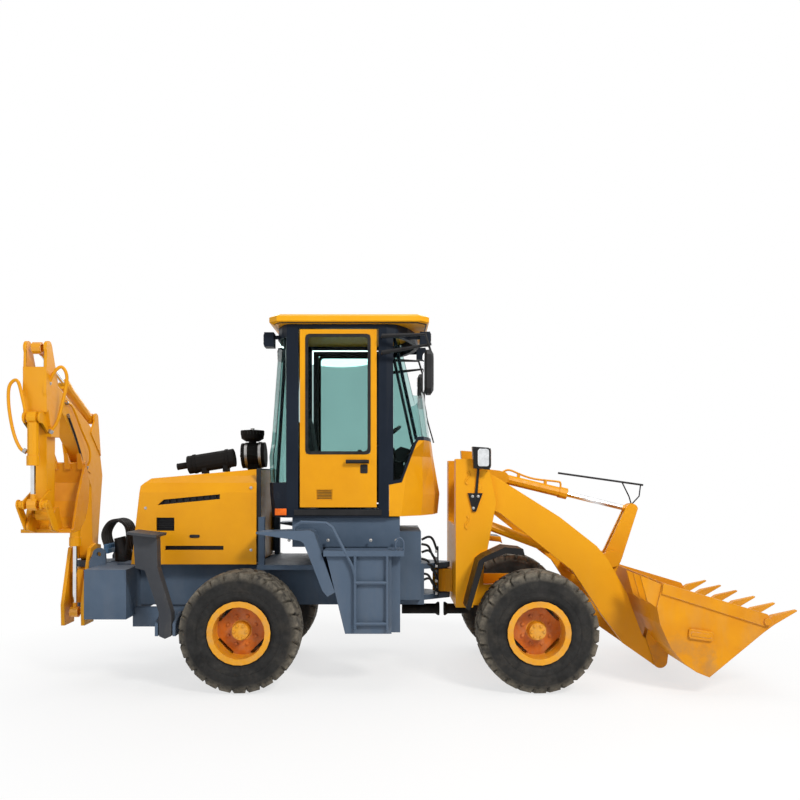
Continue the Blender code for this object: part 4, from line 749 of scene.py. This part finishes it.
def exhaust_details(finish):
    start, end, skin = MUFFLER
    along = (end - start).normalized()
    bands = Shape()
    for share in (0.14, 0.86):
        bands.lathe(band_profile(skin, 0.011), start.lerp(end, share), along, 32)
    for place in (start, end):
        bands.ring(place, along, 0.072, 0.007, 32, 8)
    piece("muffler_bands", bands, finish["exhaust"], REAR)
    mouth = Shape()
    mouth.ring(start - along * 0.10, along, 0.026, 0.004, 24, 8)
    mouth.lathe([(-0.003, 0.022), (0.0, 0.022)], start - along * 0.101, along, 20)
    piece("exhaust_mouth", mouth, finish["black"], REAR)
    start, end, skin = AIR_CLEANER
    along = (end - start).normalized()
    clamp = Shape()
    for share in (0.22, 0.80):
        clamp.lathe(band_profile(skin, 0.012), start.lerp(end, share), along, 36)
    piece("air_cleaner_bands", clamp, finish["steel"], REAR)
    knob = Shape()
    knob.lathe([(0, 0.030), (0.006, 0.030), (0.010, 0.012), (0.022, 0.011), (0.024, 0.006)],
               start, -along, 20)
    knob.lathe([(0, 0.018), (0.012, 0.018), (0.016, 0.008)], at(CAP_X, CAP_Y, CAP_TOP), UP, 16)
    piece("air_cleaner_knobs", knob, finish["steel"], REAR)
    ribs = Shape()
    for turn in turns(CAP_RIBS):
        out = Vector((math.cos(turn), math.sin(turn), 0))
        low = at(CAP_X, CAP_Y, CAP_TOP - 0.046) + out * 0.105
        ribs.tube([low, low + Vector((0, 0, 0.034))], 0.0022, 6, smooth=False)
    piece("pre_cleaner_ribs", ribs, finish["black"], REAR)


# Cab
ROOF_X = (-0.955, 0.30)
ROOF_Y = 0.63
ROOF_CUT = 0.06
# sections of the roof's drip edge: height, growth beyond the roof's own edge
DRIP_RINGS = ((2.9655, 0.006), (2.9655, 0.012), (2.978, 0.018), (2.978, 0.004))
# work lamps: x, way they face, height
WORK_LAMPS = ((0.345, 1, 2.87), (-1.045, -1, 2.86))
WORK_LAMP_Y = 0.42
MIRROR_Y = 0.761
MIRROR_Z = 2.545


def roof_outline(grow):
    back, front = ROOF_X
    return [
        (back + grow, -ROOF_Y - grow + ROOF_CUT), (back + ROOF_CUT, -ROOF_Y - grow),
        (front - ROOF_CUT, -ROOF_Y - grow), (front + grow, -ROOF_Y + ROOF_CUT),
        (front + grow, ROOF_Y - ROOF_CUT), (front - ROOF_CUT, ROOF_Y + grow),
        (back + ROOF_CUT, ROOF_Y + grow), (back - grow, ROOF_Y - ROOF_CUT),
    ]


def cab_details(finish):
    drip = Shape()
    drip.rings([[at(x, y, z) for x, y in roof_outline(grow)] for z, grow in DRIP_RINGS])
    piece("roof_drip_edge", drip, finish["black"], REAR)
    sill = Shape()
    for side in SIDES.values():
        sill.box((-0.78, -0.06), (side * CAB_Y, side * (CAB_Y + 0.007)), (1.392, 1.440))
    piece("door_sill_strip", sill, finish["black"], REAR, bevel=0.003)
    lens, rims = Shape(), Shape()
    for side in SIDES.values():
        y = side * WORK_LAMP_Y
        for x, sign, z in WORK_LAMPS:
            rims.across(rounded(y, z, (0.052, 0.047), 0.014), x - sign * 0.004, x + sign * 0.006)
            lens.across(rounded(y, z, (0.045, 0.040), 0.011), x + sign * 0.005, x + sign * 0.0085)
    piece("work_lamp_rims", rims, finish["black"], REAR, bevel=0.002)
    piece("work_lamp_lenses", lens, finish["lens"], REAR, bevel=0.002)
    glass = Shape()
    for side in SIDES.values():
        glass.across(rounded(side * MIRROR_Y, MIRROR_Z, (0.070, 0.150), 0.025), 0.2755, 0.2795)
    piece("mirror_glass", glass, finish["mirror"], REAR)
    wiper = Shape()
    wiper.tube([at(0.405, 0.10, 2.02), at(0.345, 0.02, 2.22), at(0.300, -0.05, 2.42)], 0.006, 8)
    wiper.tube([at(0.335, -0.02, 2.26), at(0.268, -0.06, 2.60)], 0.008, 6, smooth=False)
    piece("wiper", wiper, finish["black"], REAR)
    marker, lamp = Shape(), Shape()
    for side in SIDES.values():
        marker.box((-0.935, -0.840), (side * 0.605, side * 0.622), (1.395, 1.450))
        lamp.lathe([(0, 0.030), (0.010, 0.030), (0.014, 0.024)],
                   at(-0.93, side * 0.598, 1.56), (0, side, 0), 24)
    piece("side_markers", marker, finish["amber"], REAR, bevel=0.004)
    piece("side_lamps", lamp, finish["lens"], REAR)


# Doors: places and half sizes are (x, z)
GLASS_MIDDLE = (-0.4185, 2.3885)
GLASS_REACH = (0.2625, 0.4885)
GLASS_CORNER = 0.03
VENT_SLATS = 6
LOCK = (-0.205, 1.775)
LOCK_FACE = 0.616
# the grip's bar: x, distance from the middle plane
GRIP = ((-0.352, 0.640), (-0.26, 0.644), (-0.163, 0.640))
GRIP_Z = 1.835


def grown(reach, extra):
    return reach[0] + extra, reach[1] + extra


def door_details(side_name, finish):
    side = SIDES[side_name]
    body = f"{side_name}_door"
    outer = rounded(*GLASS_MIDDLE, grown(GLASS_REACH, 0.006), GLASS_CORNER + 0.006)
    inner = rounded(*GLASS_MIDDLE, grown(GLASS_REACH, -0.020), GLASS_CORNER)
    section = ((outer, 0.6095), (outer, 0.6135), (inner, 0.6125), (inner, 0.6092))
    seal = Shape()
    seal.rings([[at(x, side * y, z) for x, z in outline] for outline, y in section], closed=True)
    piece(f"{side_name}_door_glass_seal", seal, finish["rubber"], body, angle=60)
    vent = Shape()
    vent.plate(rounded(-0.530, 1.5625, (0.067, 0.0445), 0.006), side * 0.596, side * 0.600)
    for k in range(VENT_SLATS):
        vent.plate(bar_outline(-0.588, 1.532 + 0.0122 * k, 0.116, 0.004), side * 0.600, side * 0.608)
    piece(f"{side_name}_door_vent", vent, finish["black"], body)
    lock = Shape()
    lock.plate(rounded(*LOCK, (0.030, 0.036), 0.010), side * 0.6105, side * LOCK_FACE)
    barrel = at(LOCK[0], side * LOCK_FACE, LOCK[1])
    lock.lathe([(0, 0.012), (0.006, 0.012), (0.008, 0.008)], barrel, (0, side, 0), 20)
    piece(f"{side_name}_door_lock", lock, finish["black"], body, bevel=0.002)
    grip = Shape()
    grip.tube([at(x, side * y, GRIP_Z) for x, y in GRIP], 0.0165, 12)
    piece(f"{side_name}_door_grip", grip, finish["black"], body)


# Seat cushions: name, centre x and z, half length, half width (y), half thickness, tilt back in degrees
SEAT_PADS = (
    ("seat_cushion", -0.505, 1.728, 0.215, 0.225, 0.052, 4),
    ("seat_backrest", -0.705, 1.980, 0.255, 0.215, 0.048, 98),
)
PAD_ROWS = 9
PAD_AROUND = 24
PAD_SQUARENESS = 0.45
# levers in the cab: side of the seat, x of the foot
LEVERS = ((-1, -0.30), (1, -0.30), (1, -0.40))


def squared(value):
    """Bends a cosine or sine so that a circle becomes a rounded square."""
    return math.copysign(abs(value) ** PAD_SQUARENESS, value)


def pad_loops(length, width, thick):
    """A plump cushion about the origin, from its bottom up."""
    loops = []
    for k in range(PAD_ROWS):
        share = -1 + 2 * k / (PAD_ROWS - 1)
        shrink = math.sqrt(max(0.0, 1 - abs(share) ** 6)) * 0.16 + 0.84
        loop = []
        for turn in turns(PAD_AROUND):
            u, w = squared(math.cos(turn)), squared(math.sin(turn))
            crown = 1 + 0.22 * math.cos(math.pi * u / 2) * math.cos(math.pi * w / 2)
            loop.append(Vector((length * u * shrink, width * w * shrink, thick * share * crown)))
        loops.append(loop)
    return loops


def seat_pads(finish):
    shell = Shape()
    shell.box((-0.62, -0.38), (-0.15, 0.15), (1.430, 1.640))
    shell.box((-0.70, -0.31), (-0.20, 0.20), (1.640, 1.668))
    shell.plate([(-0.800, 1.64), (-0.765, 1.64), (-0.800, 2.20), (-0.830, 2.20)], -0.19, 0.19)
    seat_shell = piece("seat_shell", shell, finish["black"], REAR, bevel=0.008)
    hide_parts("seat")
    for name, x, z, length, width, thick, tilt in SEAT_PADS:
        centre = at(x, 0, z)
        lean = Matrix.Rotation(math.radians(-tilt), 3, "Y")
        shape = Shape()
        shape.rings([[centre + lean @ point for point in loop] for loop in pad_loops(length, width, thick)])
        pad = piece(name, shape, finish["seat"], REAR, bevel=0.008, angle=60)
        smooth = pad.modifiers.new("smooth", "SUBSURF")
        smooth.levels = smooth.render_levels = 1
        seams = Shape()
        for line in (-0.5, 0.5):
            ends = [Vector((length * u, width * line, thick * 1.14)) for u in (-0.86, -0.4, 0.0, 0.4, 0.86)]
            seams.tube([centre + lean @ end for end in ends], 0.0035, 6)
        piece(f"{name}_piping", seams, finish["rubber"], REAR)
    levers = Shape()
    for side, x in LEVERS:
        foot, bend = at(x, side * 0.36, 1.50), at(x + 0.02, side * 0.36, 1.75)
        levers.tube([foot, bend, at(x + 0.05, side * 0.35, 1.90)], 0.008)
        levers.lathe([(-0.03, 0.008), (-0.015, 0.020), (0.012, 0.022), (0.026, 0.012)],
                     at(x + 0.05, side * 0.35, 1.915), UP, 16)
        levers.box((x - 0.05, x + 0.06), (side * 0.31, side * 0.41), (1.4285, 1.515))
    piece("cab_levers", levers, finish["black"], REAR)


# Below the cab
STUD_X = (-0.82, -0.50, -0.15, 0.06)
STUD_Z = 1.19
# the step's handle: x, distance from the middle plane, z
HANDLE = (
    (0.055, 0.81, 1.10), (0.055, 0.815, 1.19), (0.085, 0.815, 1.225),
    (0.115, 0.815, 1.19), (0.115, 0.81, 1.10),
)
SHAFT_Z = 0.53


def step_details(finish):
    studs, handle = Shape(), Shape()
    for side in SIDES.values():
        for x in STUD_X:
            studs.bolt(at(x, side * 0.605, STUD_Z), (0, side, 0), 0.010, 0.008)
        handle.tube([at(x, side * y, z) for x, y, z in HANDLE], 0.008)
    piece("step_studs", studs, finish["steel"], REAR)
    piece("step_handles", handle, finish["blue_grey"], REAR)
    shaft = Shape()
    shaft.lathe([(0.0, 0.030), (0.0, 0.045), (0.30, 0.045), (0.32, 0.060), (0.335, 0.060)],
                at(0.115, 0, SHAFT_Z), AHEAD, 28)
    piece("rear_drive_shaft", shaft, finish["exhaust"], REAR)
    front_shaft = Shape()
    front_shaft.lathe([(0.0, 0.060), (0.015, 0.060), (0.035, 0.045), (0.22, 0.045)],
                      at(0.49, 0, SHAFT_Z), AHEAD, 28)
    piece("front_drive_shaft", front_shaft, finish["exhaust"], "front_frame")


# rows: y, height where it leaves, height where it ends, rise above the straight line between them
STEERING_HOSES = (
    (-0.17, 1.16, 1.06, 0.05), (-0.14, 1.12, 0.99, -0.04), (-0.17, 1.05, 0.93, 0.03),
    (-0.12, 0.99, 0.88, -0.05), (-0.17, 0.92, 0.80, 0.05), (-0.13, 0.86, 0.74, -0.03),
    (-0.16, 0.80, 0.69, 0.04),
)


def frame_hoses(finish):
    """The bundle in the gap between the frames: every hose leaves the rear frame and ends on its bracket."""
    hoses, bracket, ends = Shape(), Shape(), Shape()
    for y, start, end, rise in STEERING_HOSES:
        middle = (start + end) / 2
        hoses.tube([at(0.285, y, start), at(0.345, y, start + rise * 0.5), at(0.385, y * 0.9, middle + rise),
                    at(0.422, y, end)], 0.0105, 10)
        ends.lathe([(0, 0.015), (0.022, 0.015), (0.024, 0.011)], at(0.404, y, end), AHEAD, 6)
    bracket.box((0.425, 0.433), (-0.19, -0.10), (0.66, 1.10))
    piece("steering_hoses", hoses, finish["hose"], REAR)
    piece("steering_hose_bracket", bracket, finish["black"], REAR, bevel=0.001)
    piece("steering_hose_ends", ends, finish["steel"], REAR)


# Tower and loader
HEADLAMP = (0.5345, 1.865)
# bolts and hooks on the tower plate: (x, z)
LAMP_BRACKET_BOLTS = ((0.695, 1.548), (0.742, 1.548), (0.702, 1.45))
HOOKS = ((0.655, 1.700), (0.650, 1.330))


def tower_details(finish):
    body = "front_frame"
    lens, rims, bolts, hooks, side_lens = Shape(), Shape(), Shape(), Shape(), Shape()
    y, z = HEADLAMP
    for side in SIDES.values():
        rims.across(rounded(side * y, z, (0.056, 0.082), 0.020), 0.8265, 0.838)
        lens.across(rounded(side * y, z, (0.047, 0.071), 0.016), 0.837, 0.842)
        side_lens.plate(rounded(0.776, 1.868, (0.046, 0.072), 0.018), side * 0.5935, side * 0.5985)
        for bolt_x, bolt_z in LAMP_BRACKET_BOLTS:
            bolts.bolt(at(bolt_x, side * 0.5145, bolt_z), (0, side, 0), 0.009, 0.008)
        for hook_x, hook_z in HOOKS:
            curve = [at(hook_x + 0.016 * math.sin(t * math.pi), side * 0.4985, hook_z + 0.055 * t)
                     for t in (-1, -0.6, -0.2, 0.2, 0.6, 1)]
            hooks.tube(curve, 0.0085, 8)
    piece("headlamp_rims", rims, finish["black"], body, bevel=0.003)
    piece("headlamp_lenses", lens, finish["lens"], body, bevel=0.002)
    piece("headlamp_side_lenses", side_lens, finish["mirror"], body, bevel=0.002)
    piece("headlamp_bracket_bolts", bolts, finish["steel"], body)
    piece("tower_hooks", hooks, finish["orange"], body)


# paths of (x, z) in the middle plane, and the outlines of the pads on the bucket's sides
INDICATOR_BAR = ((1.515, 1.744), (2.276, 1.636))
INDICATOR_LINKS = (
    ((2.088, 1.662), (2.150, 1.535), (2.172, 1.462)),
    ((2.255, 1.640), (2.241, 1.535), (2.172, 1.462)),
)
TILT_PIPE = (
    (1.02, 1.755), (1.08, 1.770), (1.20, 1.722), (1.31, 1.690), (1.50, 1.668), (1.535, 1.655),
    (1.537, 1.600),
)
# brackets of the pipe: x, height of the top
PIPE_BRACKETS = ((1.16, 1.745), (1.40, 1.685))
BRACKET_CLEARANCE = 0.038
PAD_OUTLINE = (
    (2.335, 0.520), (2.350, 0.530), (2.515, 0.505), (2.527, 0.492), (2.520, 0.438), (2.505, 0.430),
    (2.345, 0.452), (2.330, 0.465),
)
PAD_PANEL = ((2.352, 0.507), (2.508, 0.484), (2.502, 0.452), (2.348, 0.474))


def loader_details(finish):
    bar = Shape()
    bar.tube([at(x, 0, z) for x, z in INDICATOR_BAR], 0.009, smooth=False)
    for path in INDICATOR_LINKS:
        bar.tube([at(x, 0, z) for x, z in path], 0.006, 8, smooth=False)
    piece("level_indicator", bar, finish["black"], "tilt_rod")
    pipe = Shape()
    pipe.tube([at(x, 0, z) for x, z in TILT_PIPE], 0.009)
    for x, top in PIPE_BRACKETS:
        share = (x - TILT_BASE[0]) / (CRANK_TOP[0] - TILT_BASE[0])
        ram_axis = TILT_BASE[1] + share * (CRANK_TOP[1] - TILT_BASE[1])
        pipe.box((x - 0.012, x + 0.012), (-0.016, 0.016), (ram_axis + BRACKET_CLEARANCE, top))
    piece("tilt_ram_pipe", pipe, finish["orange"], "tilt_barrel")
    pads = Shape()
    for side in SIDES.values():
        for outline, thick in ((PAD_OUTLINE, 0.022), (PAD_PANEL, 0.027)):
            pads.plate(outline, side * BUCKET_SIDE, side * (BUCKET_SIDE + thick))
    piece("bucket_side_pads", pads, finish["bucket"], "loader_bucket", bevel=0.004)


# Hoses of the digging arm: name, body, radius, sleeved, path of (u, z, x) as in arm_at
ARM_HOSES = (
    ("bucket_ram_hose", "hoe_bucket_ram_barrel", 0.013, True,
     ((1.10, 2.13, -0.045), (1.12, 2.30, -0.07), (1.10, 2.44, -0.12), (1.10, 2.40, -0.18),
      (1.10, 2.25, -0.185), (1.10, 2.05, -0.15), (1.10, 1.93, -0.10), (1.10, 1.90, -0.05))),
    ("dipper_hose", "dipper", 0.013, True,
     ((1.00, 2.42, 0.07), (1.00, 2.52, 0.12), (0.98, 2.56, 0.17), (0.96, 2.48, 0.20), (0.96, 2.30, 0.17),
      (0.97, 2.14, 0.13), (0.98, 2.05, 0.075))),
    ("boom_pipe", "hoe_boom", 0.010, True,
     ((0.66, 2.32, 0.072), (0.55, 2.28, 0.085), (0.38, 2.10, 0.095), (0.26, 1.96, 0.11), (0.24, 1.86, 0.11),
      (0.23, 1.78, 0.072))),
    ("boom_lower_pipe", "hoe_boom", 0.009, False,
     ((0.62, 2.22, 0.070), (0.45, 2.02, 0.075), (0.30, 1.80, 0.075), (0.22, 1.55, 0.070))),
)
# the bundle beside the swing post: the y of its hoses, and their path of (x, z)
BUNDLE_Y = [-0.10 + 0.05 * k for k in range(5)]
BUNDLE_PATH = (
    (-2.50, 1.08), (-2.53, 1.20), (-2.48, 1.30), (-2.40, 1.325), (-2.33, 1.28), (-2.31, 1.17), (-2.33, 1.00),
)


def arm_hoses(finish):
    for name, body, radius, sleeved, path in ARM_HOSES:
        hose, bands = Shape(), Shape()
        points = [arm_at(*place) for place in path]
        hose.tube(points, radius)
        piece(name, hose, finish["orange"] if sleeved else finish["hose"], body)
        for near, place in ((points[1], points[0]), (points[-2], points[-1])):
            bands.lathe([(0, radius * 1.7), (0.024, radius * 1.7), (0.028, radius * 1.25)],
                        place, near - place, 6)
        piece(f"{name}_ends", bands, finish["steel"], body)
    bundle, fittings, boot = Shape(), Shape(), Shape()
    for y in BUNDLE_Y:
        bundle.tube([at(x, y, z) for x, z in BUNDLE_PATH], 0.014)
        fittings.lathe([(0, 0.022), (0.034, 0.022), (0.040, 0.016)], at(-2.50, y, 1.075), UP, 6)
    fittings.box((-2.53, -2.47), (-0.14, 0.14), (1.035, 1.075))
    boot.lathe([(0, 0.09), (0.06, 0.085), (0.14, 0.06), (0.22, 0.05)],
               at(-2.36, 0.0, 0.955), (-0.25, 0, 1), 24)
    piece("backhoe_hose_bundle", bundle, finish["hose"], REAR)
    piece("backhoe_hose_fittings", fittings, finish["fitting"], REAR)
    piece("backhoe_hose_boot", boot, finish["black"], REAR)


def make_materials():
    """One finish for each kind of surface, by name."""
    made = {
        "yellow": painted("yellow_paint", YELLOW, YELLOW_SHADE),
        "orange": painted("arm_paint", YELLOW, ORANGE, 0.42, 0.1),
        # The door paint holds painted shade: black on the side that faces the driver
        "door": painted("door_paint_inner_shade", YELLOW, YELLOW_SHADE, recolour=door_inner_shade),
        "tower": painted("tower_paint", YELLOW, ORANGE, 0.40, 0.1, recolour=black_fender),
        "bucket": painted("bucket_paint", ORANGE, ORANGE_SHADE, 0.46, 0.25, worn=0.5, recolour=bucket_inside),
        "hoe_bucket": painted("digging_bucket_paint", YELLOW, ORANGE_SHADE, 0.46, 0.2, worn=0.5),
        "roof": painted("roof_paint", ROOF_YELLOW, YELLOW, 0.36, 0.1),
        "blue_grey": painted("step_paint", BLUE_GREY, STEP_SHADE, 0.5, 0.12),
        "chassis": painted("chassis_paint", BLUE_GREY, BLUE_SHADE, 0.52, 0.12),
        "charcoal": painted("stabilizer_paint", CHARCOAL, CHARCOAL_SHADE, 0.52, 0.2, worn=0.2),
        "navy": painted("cab_paint", NAVY, NAVY_SHADE, 0.44, 0.03, shine=0.10),
        "black": plastic("black_plastic", BLACK, 0.48),
        "rubber": rubber_material("seal_rubber"),
        "seat": plastic("seat_cloth", CLOTH, 0.86, 700),
        "fitting": painted("hose_fitting_paint", FITTING_BLUE, FITTING_SHADE, 0.4, 0.2),
        "steel": metal("bare_steel", BOLT_STEEL, 0.42),
        "exhaust": painted("exhaust_paint", SOOT, SOOT_SHADE, 0.66, 0.05, shine=0.10),
        "glass": pane_material("cab_glass", TINT),
        "lens": pane_material("lamp_lens", CLEAR, 0.05),
        "amber": plastic("amber_lens", AMBER, 0.2),
        "mirror": metal("mirror_face", MIRROR, 0.05, 0.04),
        "hose": plastic("hose_rubber", HOSE_BLACK, 0.6, 500),
    }
    for end in AXLE_X:
        for side in SIDES:
            centre = wheel_centre(end, side)
            made[f"{end}_{side}_tyre"] = rubber_material(f"{end}_{side}_tyre_rubber", centre)
            made[f"{end}_{side}_rim"] = rim_material(f"{end}_{side}_rim_paint_disc_shade", centre)
    return made


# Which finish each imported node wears
NODE_FINISH = {
    "yellow": ("engine_hood", "cab_nose"),
    "door": ("right_door", "left_door"),
    "roof": ("cab_roof",),
    "orange": ("loader_boom", "bellcrank", "bucket_link", "backhoe_boom", "backhoe_dipper",
               "backhoe_guide_link", "right_bucket_link", "left_bucket_link", "front_axle", "rear_axle",
               "right_lift_barrel", "left_lift_barrel", "tilt_barrel", "hoe_boom_ram_barrel",
               "dipper_ram_barrel", "hoe_bucket_ram_barrel", "swing_post"),
    "tower": ("front_frame",),
    "bucket": ("loader_bucket",),
    "hoe_bucket": ("backhoe_bucket",),
    "blue_grey": ("right_step_box", "left_step_box"),
    "chassis": ("rear_chassis",),
    "charcoal": ("right_stabilizer", "left_stabilizer", "engine_block"),
    "navy": ("cab_frame",),
    "black": ("dash_and_wheel", "right_mirror", "left_mirror"),
    "seat": ("seat",),
    "exhaust": ("muffler", "air_cleaner"),
    "glass": ("windscreen_glass", "rear_glass", "right_door_glass", "left_door_glass"),
}


# Where each ram's rod ends in an eye
ROD_EYES = {
    "right_lift_rod": at(LIFT_END[0], -LIFT_Y, LIFT_END[1]),
    "left_lift_rod": at(LIFT_END[0], LIFT_Y, LIFT_END[1]),
    "tilt_rod": at(CRANK_TOP[0], 0, CRANK_TOP[1]),
    "hoe_boom_ram_rod": arm_at(*BOOM_RAM_EYE),
    "dipper_ram_rod": arm_at(*DIPPER_TOP),
    "hoe_bucket_ram_rod": arm_at(*BUCKET_RAM_EYE),
}


def dress_nodes(finish):
    for name, eye in ROD_EYES.items():
        wear(frame["nodes"][name], rod_material(f"{name}_chrome", eye))
    for name, nodes in NODE_FINISH.items():
        for node in nodes:
            wear(frame["nodes"][node], finish[name])
    for end in AXLE_X:
        for side in SIDES:
            for part in ("tyre", "rim"):
                wear(frame["nodes"][f"{end}_{side}_{part}"], finish[f"{end}_{side}_{part}"])


def wear(node, material):
    for slot in node.material_slots:
        slot.material = material
    if not node.material_slots:
        node.data.materials.append(material)


def main():
    scene.view_settings.view_transform = "Standard"
    add_camera()
    add_world()
    add_lights()
    add_floor()
    finish = make_materials()
    dress_nodes(finish)
    for end in AXLE_X:
        for side in SIDES:
            wheel_details(end, side, finish)
    hood_details(finish)
    exhaust_details(finish)
    cab_details(finish)
    for side in SIDES:
        door_details(side, finish)
    seat_pads(finish)
    step_details(finish)
    frame_hoses(finish)
    tower_details(finish)
    loader_details(finish)
    arm_hoses(finish)


main()
